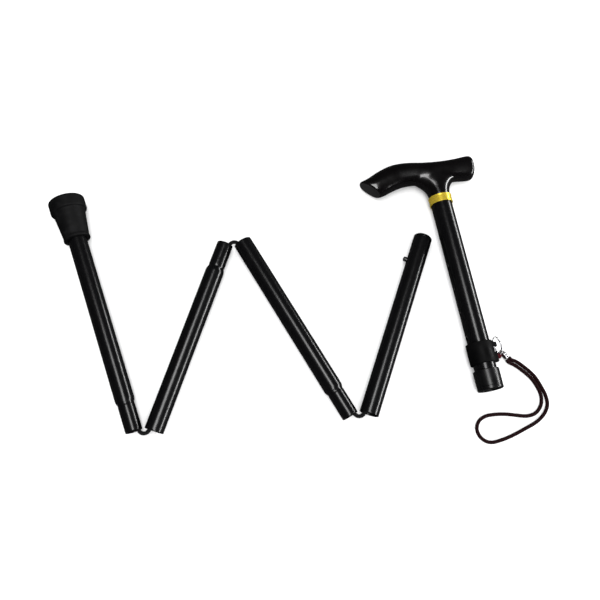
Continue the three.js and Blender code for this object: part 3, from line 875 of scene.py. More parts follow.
@dataclass(frozen=True)
class Braid(Finish):
    """A braided cord whose strands are modelled: fine yarn on each strand, and a second strand colour."""

    second: Point = (0.2, 0.01, 0.02)
    fuzz: float = 0.35
    shine: float = 0.1

    def dress(self, sheet: Sheet, shader: bpy.types.Node) -> None:
        """Adds the strand colours, the yarn and a soft sheen.

        Args:
            sheet: The material's nodes.
            shader: The material's main shader.
        """
        where = self.place(sheet)
        strand = sheet.node("ShaderNodeAttribute", attribute_name="strand").outputs["Fac"]
        yarn = Effects.place(sheet, Effect.WEAVE, vector=where, scale=14000.0)
        uneven = sheet.noise(where, 900.0, 3.0)
        mixed = sheet.blend(strand, (*self.colour, 1.0), (*self.second, 1.0))
        shade = sheet.blend(sheet.spread(uneven, 0.3, 0.75), mixed, self.tint(self.second, 0.5))
        sheet.feed(shader.inputs["Base Color"], shade)
        rough = sheet.spread(uneven, 0.3, 0.7, self.roughness - 0.12, self.roughness)
        sheet.feed(shader.inputs["Roughness"], rough)
        shader.inputs["Sheen Weight"].default_value = self.fuzz
        shader.inputs["Sheen Roughness"].default_value = 0.5
        shader.inputs["Specular IOR Level"].default_value = self.shine
        self.bump(sheet, shader, yarn, 0.00003)


BLACK_LACQUER = Lacquer("black_lacquer_finish", (0.0016, 0.0016, 0.0019), 0.22)
GLOSS_GRIP = Moulded("gloss_grip_finish", (0.0014, 0.0011, 0.0013), 0.2, depth=0.000006, coat=0.4)
MATT_NOSE = Moulded("matt_nose_finish", (0.011, 0.011, 0.012), 0.6, texture=900.0, depth=0.00004)
BLACK_PLASTIC = Moulded("black_plastic_finish", (0.0012, 0.0012, 0.0014), 0.56, shine=0.08)
GLOSS_COLLAR = Moulded("gloss_collar_finish", (0.0016, 0.0016, 0.0019), 0.26, depth=0.000004)
BLACK_RUBBER = Rubber("black_rubber_finish", (0.0018, 0.0018, 0.0021), 0.66)
GILT = Metal("gilt_finish", (1.0, 0.74, 0.07), 0.3, tarnished=0.25, metallic=0.75)
BRIGHT_STEEL = Metal("bright_steel_finish", (0.6, 0.6, 0.62), 0.2, tarnish=(0.2, 0.19, 0.18))
CORD_SLEEVE = Braid(
    "elastic_sleeve_finish", (0.005, 0.005, 0.0055), 0.8, second=(0.006, 0.006, 0.0065), fuzz=0.05
)
STRAP_BRAID = Braid(
    "strap_braid_finish", (0.0012, 0.0006, 0.0007), 0.85, second=(0.016, 0.0006, 0.0018), fuzz=0.015
)
RED_BRAID = Braid("red_braid_finish", (0.03, 0.0015, 0.004), 0.8, second=(0.085, 0.003, 0.009), fuzz=0.03)
BLACK_NYLON = Moulded("black_nylon_finish", (0.003, 0.003, 0.0033), 0.5)
NYLON = Moulded("nylon_finish", (0.62, 0.6, 0.55), 0.45)


# ---- Placing pieces ----


@dataclass(frozen=True)
class Role:
    """What a piece belongs to: its body, its record slot and the CAD nodes it stands for."""

    body: str
    slot: str
    stands_for: tuple[str, ...] = ()


class Workshop:
    """Dresses, places and attaches the finished pieces."""

    @staticmethod
    def finish(
        made: bpy.types.Object, place: Placement, finish: Finish, role: Role, sharp: float = 38.0
    ) -> bpy.types.Object:
        """Places a piece and attaches it to its body.

        Args:
            made: The piece, in millimetres in its section's frame.
            place: The section's frame.
            finish: The piece's finish.
            role: What the piece belongs to.
            sharp: The angle past which an edge is shaded sharp, in degrees.

        Returns:
            The piece.
        """
        made.data.transform(place.matrix())
        Bench.shaded(made, sharp)
        made.data.materials.clear()
        made.data.materials.append(finish.material())
        if role.stands_for:
            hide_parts(*role.stands_for)
        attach(made, role.body)
        log.info("made %s, %d faces, on %s", made.name, len(made.data.polygons), role.body)
        return made

    @staticmethod
    def dress_node(node: str, finish: Finish, slot: str) -> None:
        """Gives a CAD node that keeps its own shape a finish.

        Args:
            node: The node's name.
            finish: Its finish.
            slot: Its record slot. Not used.
        """
        made = frame["nodes"][node]
        made.data.materials.clear()
        made.data.materials.append(finish.material())
        Bench.shaded(made, 30.0)
        log.info("dressed %s", node)


@dataclass
class BraidPattern:
    """A round braid: strands that wind both ways round a core and pass over and under each other."""

    radius: float
    strands: int
    lead: float
    relief: float

    def radii(self, length: float, steps: int, sides: int) -> tuple[np.ndarray, np.ndarray]:
        """The braid's radius, and which strand shows, at each point of each ring.

        Args:
            length: The cord's length in millimetres.
            steps: The rings along it.
            sides: The points in a ring.

        Returns:
            The radii and the strand shares, each steps by sides.
        """
        s = np.linspace(0, length, steps)[:, None] / self.lead
        turn = np.arange(sides)[None, :] / sides
        a, b = self.strands * (turn + s), self.strands * (turn - s)
        i, j = np.floor(a), np.floor(b)
        across_a, across_b = 2 * (a - i) - 1, 2 * (b - j) - 1
        over_a = 0.5 * np.cos(np.pi * (b - 0.5 + i))
        over_b = -0.5 * np.cos(np.pi * (a - 0.5 + j))
        height_a = over_a + 0.8 * np.sqrt(np.maximum(0, 1 - across_a**2))
        height_b = over_b + 0.8 * np.sqrt(np.maximum(0, 1 - across_b**2))
        height = np.maximum(height_a, height_b) / 1.3
        shown = np.where(height_a > height_b, i, j + 1)
        return self.radius - self.relief * (1 - height), (shown % 2)

    def cord(self, path: np.ndarray, sides: int, swell: np.ndarray | float = 1.0) -> Shape:
        """A braided cord along a path.

        Args:
            path: The centreline's points, in millimetres.
            sides: The points in a ring.
            swell: What the radius is multiplied by, once or for each ring.

        Returns:
            The shape, closed at both ends.
        """
        radii, strand = self.radii(path_length(path), len(path), sides)
        return swept(path, radii * swell, sides, strand)


# ---- Tube sections ----


@dataclass
class TubeStock:
    """The cord-strung tube that four sections are cut from, with its swaged end.

    A groove runs round the foot of the spigot, and the spigot's last few millimetres lead it in.
    """

    radius: float = 9.5
    wall: float = 1.0
    spigot_length: float = 31.0
    spigot_radius: float = 8.3
    spigot_bore: float = 7.1
    shoulder: float = 4.0
    groove_depth: float = 0.35
    groove_below: float = 0.6
    groove_above: float = 1.2
    lead_in: float = 4.0

    @property
    def bore(self) -> float:
        """The tube's inner radius."""
        return self.radius - self.wall

    def swaged(self, bottom: float, length: float) -> Shape:
        """A tube with a rolled mouth at its bottom and a swaged spigot on top.

        Args:
            bottom: The mouth's height.
            length: The spigot end's height.

        Returns:
            The shape.
        """
        shoulder = length - self.spigot_length
        swage = shoulder + self.shoulder
        middle = (bottom + shoulder) / 2
        return lathed(
            rounded(
                [
                    (self.bore, bottom, 0.3),
                    (self.radius, bottom, 0.7),
                    (self.radius, middle),
                    (self.radius, shoulder, 1.6),
                    (self.spigot_radius - self.groove_depth, swage - self.groove_below, 0.9),
                    (self.spigot_radius, swage + self.groove_above, 0.8),
                    (self.spigot_radius, length - self.lead_in, 0),
                    (self.spigot_radius, length, 0.9),
                    (self.spigot_bore, length, 0.3),
                    (self.spigot_bore, swage, 1.0),
                    (self.bore, shoulder, 1.0),
                ],
                closed=True,
            ),
            closed=True,
        )


@dataclass
class FoldCord:
    """The elastic cord where it shows between two folded sections.

    The heights are where it is held on its way down to the first mouth.
    """

    radius: float = 2.0
    offset: float = 4.6
    heights: tuple[float, ...] = (30.0, 20.0, 12.0, 6.0, 2.0)
    arc_steps: int = 10
    entry: float = 2.0
    pitch: float = 0.22
    sides: int = 40

    def build(self, name: str, fold: Fold, parent: str, link: str, node: str) -> None:
        """Builds the cord across a fold.

        Args:
            name: The piece's name.
            fold: The fold.
            parent: The body whose mouth the cord leaves.
            link: The body that turns about the fold.
            node: The CAD node that the cord stands for.
        """
        points = self._route(fold)
        path = smooth_path([tuple(p) for p in points], self.pitch)
        pattern = BraidPattern(self.radius, strands=8, lead=12.0, relief=0.3)
        made = Bench.mesh_object(name, pattern.cord(path, self.sides))
        made.data.transform(Matrix.Scale(MM, 4))
        Bench.shaded(made, 70.0)
        made.data.materials.append(CORD_SLEEVE.material())
        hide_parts(node)
        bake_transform(made)
        log.info("made %s, from %s to %s", name, parent, link)

    def _route(self, fold: Fold) -> list[Vector]:
        """The cord's points: down to the mouth, round the fold and on into the next section.

        Args:
            fold: The fold.

        Returns:
            The points, in millimetres in the model's frame.
        """
        pivot, side, up, turn = fold.pivot / MM, fold.side, fold.up, fold.angle
        mouth = pivot - side * (Layout.FOLD_OFFSET / MM)
        reach = Layout.FOLD_OFFSET / MM - self.offset
        points = [mouth + side * self.offset + up * z for z in self.heights]
        for k in range(self.arc_steps + 1):
            a = turn * k / self.arc_steps
            points.append(pivot - side * (reach * math.cos(a)) - up * (reach * math.sin(a)))
        onward = side * math.sin(turn) - up * math.cos(turn)
        return [*points, points[-1] + onward * self.entry]


@dataclass
class RubberTip:
    """The rubber foot: a wide band, a step, a tapering neck with a lip, and a ringed sole."""

    bore: float = 9.8
    mouth: float = 13.6
    shoulder: float = 16.2
    band: float = 18.6
    band_height: float = 13.0
    height: float = 46.0
    floor: float = 6.0
    lip_height: float = 2.4
    lip_reach: float = 0.5
    sole_rings: int = 4
    sole_rim: float = 4.0
    sole_start: float = 2.4
    sole_groove: float = 1.1

    def build(self, place: Placement) -> None:
        """Builds and places the tip.

        Args:
            place: The lower section's frame.
        """
        sole: list[tuple[float, ...]] = [(0, 0)]
        pitch = (self.band - self.sole_rim) / self.sole_rings
        for k in range(self.sole_rings):
            r = self.sole_start + k * pitch
            sole += [(r, 0, 0.3), (r + 0.5, self.sole_groove, 0.3)]
            sole += [(r + 1.3, self.sole_groove, 0.3), (r + 1.8, 0, 0.3)]
        lip = self.height - self.lip_height
        profile = rounded(
            [
                *sole,
                (self.band, 0, 1.8),
                (self.band, self.band_height, 0.9),
                (self.shoulder + 0.2, self.band_height + 1.2, 0.7),
                (self.shoulder - 0.5, self.band_height + 6, 3.0),
                (self.mouth - self.lip_reach, lip - 1.0, 1.0),
                (self.mouth, lip, 0.5),
                (self.mouth, self.height, 0.9),
                (self.bore, self.height, 0.4),
                (self.bore, self.floor),
                (0, self.floor),
            ],
            steps=5,
        )
        made = Bench.mesh_object("rubber_tip_moulding", lathed(profile, 128))
        Workshop.finish(made, place, BLACK_RUBBER, Role("lower", "rubber", ("rubber_tip",)))


@dataclass
class TubeSections:
    """The four cord-strung sections with what is on and in them."""

    stock: TubeStock = field(default_factory=TubeStock)
    lower_bottom: float = 8.1
    lower_length: float = 253.0
    second_length: float = 203.0
    third_length: float = 211.0
    adjust_length: float = 196.0
    cap_height: float = 4.0
    button_drop: float = 31.0
    button_radius: float = 2.5
    button_proud: float = 4.1
    button_seat: float = 5.0
    flange_width: float = 0.9
    flange_height: float = 1.4
    hole_clearance: float = 0.5
    hole_margin: float = 12.0
    cap_depth: float = 10.0
    cap_gap: float = 0.3
    cap_rim: float = 1.4
    cap_slope: float = 2.2

    def build(self, layout: Layout) -> None:
        """Builds every section and the cords between them.

        Args:
            layout: The sections' frames.
        """
        lengths = {
            "lower": (layout.lower, self.lower_bottom, self.lower_length),
            "second": (layout.second, 0.0, self.second_length),
            "third": (layout.third, 0.0, self.third_length),
        }
        for name, (place, bottom, length) in lengths.items():
            made = Bench.mesh_object(f"{name}_section_tube", self.stock.swaged(bottom, length))
            role = Role(name, "black_lacquer", (f"{name}_tube",))
            Workshop.finish(made, place, BLACK_LACQUER, role)
        RubberTip().build(layout.lower)
        self._adjust_tube(layout.adjust)
        self._button(layout.adjust)
        cord = FoldCord()
        parents = {"third": "adjust", "second": "third", "lower": "second"}
        for name, parent in parents.items():
            fold, node = layout.folds[f"fold_{name}"], f"cord_bridge_{name}"
            cord.build(f"{name}_fold_cord", fold, parent, f"{name}_link", node)
        self._dress_inside()

    def _adjust_tube(self, place: Placement) -> None:
        """Builds the plain tube with its button hole, and its top cap.

        Args:
            place: The section's frame.
        """
        top = self.adjust_length - self.cap_height
        height = self.adjust_length - self.button_drop
        stock = self.stock
        under, over = height - self.hole_margin, height + self.hole_margin
        corners = [(stock.bore, 0, 0.3), (stock.radius, 0, 0.7), (stock.radius, under)]
        corners += [(stock.radius, over), (stock.radius, top, 0.3), (stock.bore, top)]
        corners += [(stock.bore, over), (stock.bore, under)]
        tube = Bench.mesh_object("adjust_section_tube", lathed(rounded(corners, closed=True), closed=True))
        hole = cross_rod(self.button_radius + self.hole_clearance, -2 * stock.radius, 0, height)
        Bench.combined(tube, Carve.CUT, hole)
        Workshop.finish(tube, place, BLACK_LACQUER, Role("adjust", "black_lacquer", ("adjust_tube",)))
        self._cap(place, top)

    def _cap(self, place: Placement, top: float) -> None:
        """Builds the plug that closes the adjust tube, with a domed rim.

        Args:
            place: The section's frame.
            top: The height of the tube's end.
        """
        stock, low, seat = self.stock, top - self.cap_depth, top + self.cap_gap
        corners = [
            (0, low),
            (stock.bore - self.cap_gap, low, 0.6),
            (stock.bore - self.cap_gap, seat),
            (stock.radius, seat, 0.2),
            (stock.radius, seat + self.cap_rim, 0.8),
            (stock.radius - self.cap_slope, self.adjust_length, 1.6),
            (0, self.adjust_length),
        ]
        made = Bench.mesh_object("top_cap", lathed(rounded(corners, steps=6)))
        Workshop.finish(made, place, GLOSS_COLLAR, Role("adjust", "black_plastic", ("adjust_top_plug",)))

    def _button(self, place: Placement) -> None:
        """Builds the snap button that stands out of the adjust tube.

        Args:
            place: The section's frame.
        """
        r, proud, seat = self.button_radius, self.stock.radius + self.button_proud, self.button_seat
        flange, back = r + self.flange_width, seat + self.flange_height
        corners = [(0, seat), (flange, seat, 0.2), (flange, back, 0.2), (r, back), (r, proud - 0.9, 0.9)]
        stud = lathed(rounded([*corners, (0, proud)], steps=8), 48)
        height = self.adjust_length - self.button_drop
        out = Matrix.Translation((0, 0, height)) @ Matrix.Rotation(-math.pi / 2, 4, "Y")
        made = Bench.mesh_object("snap_button_stud", shifted(stud, out))
        Workshop.finish(made, place, GLOSS_COLLAR, Role("button", "black_plastic", ("snap_button",)))

    @staticmethod
    def _dress_inside() -> None:
        """Gives the pieces inside the tubes their finishes."""
        for name in ("cord_upper", "cord_third", "cord_second", "cord_lower"):
            Workshop.dress_node(name, CORD_SLEEVE, "elastic_cord")
        for end in ("upper", "lower"):
            Workshop.dress_node(f"cord_knot_{end}", CORD_SLEEVE, "elastic_cord")
            Workshop.dress_node(f"cord_washer_{end}", NYLON, "nylon")
        for name in ("tip_washer", "button_spring"):
            Workshop.dress_node(name, BRIGHT_STEEL, "steel")


# ---- Handle section ----


@dataclass
class Grip:
    """The moulded derby grip: a hand piece with a flat nose and a rounded heel, on a flared neck.

    The cuts give the top and bottom of the hand piece as across and up from the grip's base, and its half
    width there. The neck's rings give a rise, and how much wider than the tube it is in the grip's plane
    and across it.
    """

    base: float = 209.2
    tube_radius: float = 11.0
    socket_radius: float = 9.5
    socket_start: float = 195.0
    socket_depth: float = 11.8
    screw_radius: float = 1.9
    screw_rise: float = 5.3
    screw_reach: float = 30.0
    cuts: tuple = (
        ((-80.4, 29.4), (-63.4, 13.4), 9.4),
        ((-79.6, 31.0), (-61.4, 12.4), 11.2),
        ((-72.0, 33.4), (-55.0, 13.8), 12.2),
        ((-58.0, 39.8), (-46.0, 17.0), 12.9),
        ((-44.0, 43.8), (-36.0, 19.4), 13.1),
        ((-28.0, 43.9), (-25.0, 19.8), 13.1),
        ((-10.0, 41.0), (-10.0, 19.0), 12.9),
        ((8.0, 39.4), (8.0, 17.9), 12.6),
        ((24.0, 39.4), (22.0, 15.8), 12.5),
        ((37.0, 40.4), (35.0, 14.4), 12.4),
        ((41.6, 39.2), (40.0, 16.0), 11.4),
        ((43.6, 35.6), (42.6, 20.2), 8.0),
    )
    neck: tuple = (
        (0, 0, 0), (3.8, 0.4, 0.2), (8.8, 2.0, 0.6), (13.3, 5.2, 1.0), (17.3, 9.6, 1.2),
        (21.8, 13.0, 1.2), (26.8, 13.0, 0),
    )
    squareness: float = 2.25
    hand_rings: int = 90
    neck_rings: int = 40
    ring_sides: int = 72
    voxel: float = 0.7
    fillet_centre: tuple[float, float] = (2.0, 21.0)
    fillet_reach: tuple[float, float] = (40.0, 17.0)
    fillet_passes: int = 110
    even_passes: int = 4
    nose_facing: float = 0.93
    nose_depth: float = 1.2

    def build(self, place: Placement) -> None:
        """Builds the grip as one smooth moulding.

        Args:
            place: The handle's frame.
        """
        made = Bench.mesh_object("grip_moulding", self._hand())
        Bench.combined(made, Carve.JOIN, self._stem())
        remesh = made.modifiers.new("skin", "REMESH")
        remesh.mode, remesh.voxel_size = "VOXEL", self.voxel
        Bench.applied(made)
        self._ease(made)
        low, high = self.socket_start, self.base + self.socket_depth
        socket = lathed([(0, low), (self.socket_radius, low), (self.socket_radius, high), (0, high)], 64)
        screw_hole = cross_rod(self.screw_radius, -self.screw_reach, 0, self.base + self.screw_rise)
        Bench.combined(made, Carve.CUT, socket, screw_hole)
        nose = self._nose_faces(made)
        Workshop.finish(made, place, GLOSS_GRIP, Role("handle", "grip_plastic", ("handle_grip",)), 50.0)
        made.data.materials.append(MATT_NOSE.material())
        for index in nose:
            made.data.polygons[index].material_index = 1

    def _nose_faces(self, made: bpy.types.Object) -> list[int]:
        """The faces of the flat cut at the nose.

        Args:
            made: The grip, before it is placed.

        Returns:
            The faces' numbers.
        """
        top, bottom, _ = self.cuts[0]
        corner = Vector((top[0], 0.0, self.base + top[1]))
        outward = Vector((bottom[1] - top[1], 0.0, top[0] - bottom[0])).normalized()
        return [
            face.index
            for face in made.data.polygons
            if face.normal.dot(outward) > self.nose_facing
            and abs((face.center - corner).dot(outward)) < self.nose_depth
        ]

    def _hand(self) -> Shape:
        """The hand piece, a loft through its cuts.

        Returns:
            The shape.
        """
        table = np.array([[*top, *bottom, half] for top, bottom, half in self.cuts], float)
        rings = []
        for tx, tz, bx, bz, half in self._between_rows(table, self.hand_rings):
            top, bottom = np.array([tx, 0, self.base + tz]), np.array([bx, 0, self.base + bz])
            wide = np.array([0, half, 0])
            rings.append(self._ring((top + bottom) / 2, (top - bottom) / 2, wide, self.squareness))
        return self._loft(rings)

    def _stem(self) -> Shape:
        """The neck, a loft through its rings.

        Returns:
            The shape.
        """
        rings = []
        for rise, widen, thicken in self._between_rows(np.array(self.neck, float), self.neck_rings):
            wide = np.array([self.tube_radius + widen, 0, 0])
            thick = np.array([0, self.tube_radius + thicken, 0])
            rings.append(self._ring(np.array([0, 0, self.base + rise]), wide, thick, 2.0))
        return self._loft(rings)

    @staticmethod
    def _between_rows(table: np.ndarray, count: int) -> np.ndarray:
        """Rows read off evenly along a table of sizes, on smooth curves through its rows.

        Args:
            table: The sizes, with a row for each cut or ring.
            count: How many rows to read off.

        Returns:
            The rows.
        """
        stations = np.linspace(0, len(table) - 1, count)
        slopes = np.gradient(table, axis=0)
        i = np.minimum(stations.astype(int), len(table) - 2)
        t = (stations - i)[:, None]
        return eased(t, table[i], table[i + 1], slopes[i], slopes[i + 1])

    def _ring(self, centre: np.ndarray, a: np.ndarray, b: np.ndarray, power: float) -> np.ndarray:
        """An oval of points, squarer than an ellipse when its power is over two.

        Args:
            centre: The oval's middle.
            a: From the middle to one side.
            b: From the middle to the side a quarter of the way on.
            power: The oval's power.

        Returns:
            The points.
        """
        angle = 2 * np.pi * np.arange(self.ring_sides) / self.ring_sides
        c, s = np.cos(angle), np.sin(angle)
        x = np.sign(c) * np.abs(c) ** (2 / power)
        y = np.sign(s) * np.abs(s) ** (2 / power)
        return centre + x[:, None] * a + y[:, None] * b

    def _loft(self, rings: list[np.ndarray]) -> Shape:
        """A closed solid through rings of points.

        Args:
            rings: The rings, each with as many points as the next.

        Returns:
            The shape.
        """
        n = self.ring_sides
        faces: list[tuple[int, ...]] = []
        for k in range(len(rings) - 1):
            for i in range(n):
                j = (i + 1) % n
                faces.append((k * n + i, k * n + j, (k + 1) * n + j, (k + 1) * n + i))
        faces += [tuple(reversed(range(n))), tuple(range((len(rings) - 1) * n, len(rings) * n))]
        return Shape([tuple(p) for p in np.vstack(rings)], faces)

    def _ease(self, made: bpy.types.Object) -> None:
        """Smooths the moulding, most of all where the neck flares into the hand piece.

        Args:
            made: The moulding, which is changed.
        """
        everywhere = made.modifiers.new("even", "SMOOTH")
        everywhere.factor, everywhere.iterations = 0.5, self.even_passes
        group = made.vertex_groups.new(name="fillet")
        across, rise = self.fillet_centre
        centre = Vector((across, 0.0, self.base + rise))
        wide, tall = self.fillet_reach
        for vertex in made.data.vertices:
            away = ((vertex.co.x - centre.x) / wide) ** 2 + ((vertex.co.z - centre.z) / tall) ** 2
            if away < 1:
                group.add([vertex.index], (1 - away) ** 2, "REPLACE")
        fillet = made.modifiers.new("fillet", "SMOOTH")
        fillet.factor, fillet.iterations, fillet.vertex_group = 0.9, self.fillet_passes, "fillet"
        Bench.applied(made)


@dataclass
class HandleSection:
    """The outer tube with its grip, gold ring and lock collar."""

    bore: float = 9.8
    radius: float = 11.0
    bottom: float = 5.7
    top: float = 204.0
    hole_radius: float = 3.0
    first_hole: float = 53.0
    hole_pitch: float = 25.4
    hole_count: int = 4
    hole_margin: float = 6.0
    ring_bottom: float = 200.5
    ring_height: float = 8.4
    ring_wall: float = 0.7
    bead: float = 1.0
    bead_height: float = 0.9
    bead_foot: float = 1.2
    clearance: float = 0.3
    collar_radius: float = 12.8
    collar_height: float = 20.0
    collar_clearance: float = 0.2
    collar_lip: float = 1.0
    groove_depth: float = 0.25

    def build(self, place: Placement) -> None:
        """Builds the handle section's fixed pieces and its collar.

        Args:
            place: The handle's frame.
        """
        self._tube(place)
        Grip().build(place)
        self._ring(place)
        self._collar(place)
        Workshop.dress_node("grip_stem", NYLON, "nylon")
        Workshop.dress_node("grip_screw", BRIGHT_STEEL, "steel")
        Workshop.dress_node("collar_collet", BLACK_NYLON, "nylon")

    def _tube(self, place: Placement) -> None:
        """Builds the outer tube with its row of button holes.

        Args:
            place: The handle's frame.
        """
        heights = [self.first_hole + i * self.hole_pitch for i in range(self.hole_count)]
        stops = [h + d for h in heights for d in (-self.hole_margin, self.hole_margin)]
        corners = [(self.bore, self.bottom), (self.radius, self.bottom, 0.3)]
        corners += [(self.radius, h) for h in stops] + [(self.radius, self.top), (self.bore, self.top)]
        corners += [(self.bore, h) for h in reversed(stops)]
        tube = Bench.mesh_object("handle_outer_tube", lathed(rounded(corners, closed=True), 128, closed=True))
        holes = [cross_rod(self.hole_radius, -2 * self.radius, 0, h) for h in heights]
        Bench.combined(tube, Carve.CUT, *holes)
        Workshop.finish(tube, place, BLACK_LACQUER, Role("handle", "black_lacquer", ("handle_tube",)))

    def _ring(self, place: Placement) -> None:
        """Builds the gold ring with its beaded edges.

        Args:
            place: The handle's frame.
        """
        low, high = self.ring_bottom, self.ring_bottom + self.ring_height
        inner = self.radius + self.clearance
        wall, bead, top, foot = inner + self.ring_wall, inner + self.bead, self.bead_height, self.bead_foot
        corners = [(inner, low), (bead, low, 0.35), (bead, low + top, 0.3), (wall, low + foot, 0.2)]
        corners += [(wall, high - foot, 0.2), (bead, high - top, 0.3), (bead, high, 0.35), (inner, high)]
        made = Bench.mesh_object("gold_ring_band", lathed(rounded(corners, closed=True), 128, closed=True))
        Workshop.finish(made, place, GILT, Role("handle", "gold_ring", ("gold_ring",)))

    def _collar(self, place: Placement) -> None:
        """Builds the lock collar, with a fine groove near its mouth.

        Args:
            place: The handle's frame.
        """
        thread, mouth, lip = self.radius + self.clearance, self.bore + self.collar_clearance, self.collar_lip
        r, top = self.collar_radius, self.collar_height
        groove = r - self.groove_depth
        corners = [(mouth, 0, 0.3), (r, 0, 1.6), (r, 3.2, 0.1), (groove, 3.4, 0.1), (groove, 3.9, 0.1)]
        corners += [(r, 4.1, 0.1), (r, top, 0.9), (thread, top, 0.3), (thread, lip), (mouth, lip)]
        collar = lathed(rounded(corners, closed=True, steps=6), 128, closed=True)
        made = Bench.mesh_object("lock_collar_moulding", collar)
        Workshop.finish(made, place, GLOSS_COLLAR, Role("collar", "black_plastic", ("lock_collar",)))


# ---- Wrist strap ----


@dataclass
class WristStrap:
    """The strap's holder, split ring, clasp and braided loop.

    The route is across and up from the lock collar's mouth, on the floor: out of the clasp, round the loop
    and back beside itself. The flange and the lug are how far out they reach, half their width, and their
    height.
    """

    tube_radius: float = 11.0
    clearance: float = 0.3
    floor: float = 13.4
    holder_bottom: float = 26.0
    holder_height: float = 21.5
    holder_radius: float = 13.3
    rooted: float = 0.8
    flange: Point = (1.6, 2.8, 10.0)
    lug: Point = (3.4, 2.4, 4.4)
    lug_height: float = 43.5
    lug_reach: float = 14.4
    lug_hole: float = 1.4
    broken_edge: float = 0.3
    ring_radius: float = 8.5
    ring_wire: float = 0.6
    coil_wire: float = 0.4
    coil_rise: float = 0.34
    coil_turns: float = 1.94
    coil_start: float = 2.2
    coil_points: int = 190
    clasp_turn: float = math.radians(52)
    clasp_radius: float = 3.1
    clasp_length: float = 6.0
    clasp_heading: Point = (0.46, 0.0, -0.89)
    crimp: float = 0.5
    eye_radius: float = 1.9
    eye_wire: float = 0.55
    strap_radius: float = 1.8
    strap_pitch: float = 0.24
    lay_gap: float = 0.05
    end_lift: float = 1.1
    tail_start: Point = (16.2, 10.0, 34.4)
    tail_heading: Point = (0.8, 0.0, -0.28)
    tail_length: float = 6.0
    tail_radius: float = 2.8
    sides: int = 48
    route: tuple = (
        (26.5, 27.9), (28.6, 24.9), (33.2, 21.4), (39.5, 14.4), (45.9, 5.3), (49.5, -4.5),
        (50.6, -13.6), (47.6, -22.4), (40.5, -28.6), (32.0, -29.9), (22.0, -27.5), (12.7, -24.7),
        (0.5, -22.7), (-8.7, -22.8), (-15.8, -25.9), (-19.9, -32.7), (-18.9, -40.7), (-14.1, -46.4),
        (-8.3, -48.4), (0.8, -47.8), (10.2, -46.1), (24.9, -41.9), (40.0, -36.7), (49.2, -30.4),
        (54.2, -23.1), (55.2, -14.6), (53.3, -4.6), (49.4, 7.1), (42.7, 17.0), (35.8, 24.6),
        (31.4, 27.5), (29.7, 29.6),
    )

    def strap(self, place: Placement) -> None:
        """Builds the braided loop, at its real length, with the pieces on its ends.

        Args:
            place: The handle's frame.
        """
        last = len(self.route) - 1
        points = [
            (x, self.floor - self.strap_radius - (self.end_lift if i in (0, last) else self.lay_gap), z)
            for i, (x, z) in enumerate(self.route)
        ]
        path = smooth_path(points, self.strap_pitch)
        length = path_length(path)
        pattern = BraidPattern(self.strap_radius, strands=8, lead=13.0, relief=0.3)
        made = Bench.mesh_object("wrist_strap_braid", pattern.cord(path, self.sides))
        role = Role("strap", "strap_braid", ("wrist_strap",))
        Workshop.finish(made, place, STRAP_BRAID, role, 70.0)
        line = [tuple(place.point(*p)) for p in path]
        ends = [self._clasp(place), self._tail(place)]
        log.info("the strap is %.1f mm long", length)

    def build(self, place: Placement) -> None:
        """Builds the holder and the split ring that the strap hangs on."""
        self._holder(place)
        self._split_ring(place)

    def _holder(self, place: Placement) -> None:
        """Builds the moulded holder with its flange and lug.

        Args:
            place: The handle's frame.
        """
        inner, outer = self.tube_radius + self.clearance, self.holder_radius
        low, high = self.holder_bottom, self.holder_bottom + self.holder_height
        corners = [(inner, low, 0.2), (outer, low, 0.8), (outer, high, 0.8), (inner, high, 0.2)]
        body = lathed(rounded(corners, closed=True), 128, closed=True)
        made = Bench.mesh_object("strap_holder_moulding", body)
        root = outer - self.rooted
        out, half, tall = self.flange
        flange = box_shape((root, -half, low + 0.1), (outer + out, half, low + tall))
        out, half, tall = self.lug
        under, over = self.lug_height - tall / 2, self.lug_height + tall / 2
        lug = box_shape((root, -half, under), (outer + out, half, over))
        Bench.combined(made, Carve.JOIN, flange, lug)
        hole = lathed([(0, -4), (self.lug_hole, -4), (self.lug_hole, 4), (0, 4)], 40)
        at = Matrix.Translation((self.lug_reach, 0, self.lug_height))
        Bench.combined(made, Carve.CUT, shifted(hole, at))
        bevel = made.modifiers.new("break_edges", "BEVEL")
        bevel.width, bevel.segments, bevel.limit_method = self.broken_edge, 3, "ANGLE"
        bevel.angle_limit = math.radians(50)
        Bench.applied(made)
        Workshop.finish(made, place, BLACK_PLASTIC, Role("holder", "black_plastic", ("strap_holder",)))

    def _ring_axes(self) -> tuple[Vector, Vector, Vector]:
        """Where the split ring hangs, with its far side just off the floor.

        Returns:
            The ring's centre, and the two directions in its plane.
        """
        tilt = math.asin((self.floor - self.ring_wire - 0.2) / (2 * self.ring_radius))
        outward = Vector((math.cos(tilt), math.sin(tilt), 0))
        centre = Vector((self.lug_reach, 0, self.lug_height)) + outward * self.ring_radius
        return centre, outward, Vector((0, 0, 1))

    def _split_ring(self, place: Placement) -> None:
        """Builds the split ring from one wire wound twice, with tapered ends.

        Args:
            place: The handle's frame.
        """
        centre, outward, upward = self._ring_axes()
        axis = outward.cross(upward)
        path = []
        for share in np.linspace(0, 1, self.coil_points):
            a = 2 * math.pi * self.coil_turns * share + self.coil_start
            around = outward * math.cos(a) + upward * math.sin(a)
            lift = self.coil_rise * math.tanh(9 * (share - 0.5))
            path.append(tuple(centre + around * self.ring_radius + axis * lift))
        wire = np.ones(self.coil_points) * self.coil_wire
        taper = np.array([0.4, 0.75, 0.93, 1.0])
        wire[:4] *= taper
        wire[-4:] *= taper[::-1]
        made = Bench.mesh_object("split_ring_wire", swept(np.array(path), wire[:, None], 16))
        Workshop.finish(made, place, BRIGHT_STEEL, Role("ring", "steel", ("split_ring",)), 60.0)

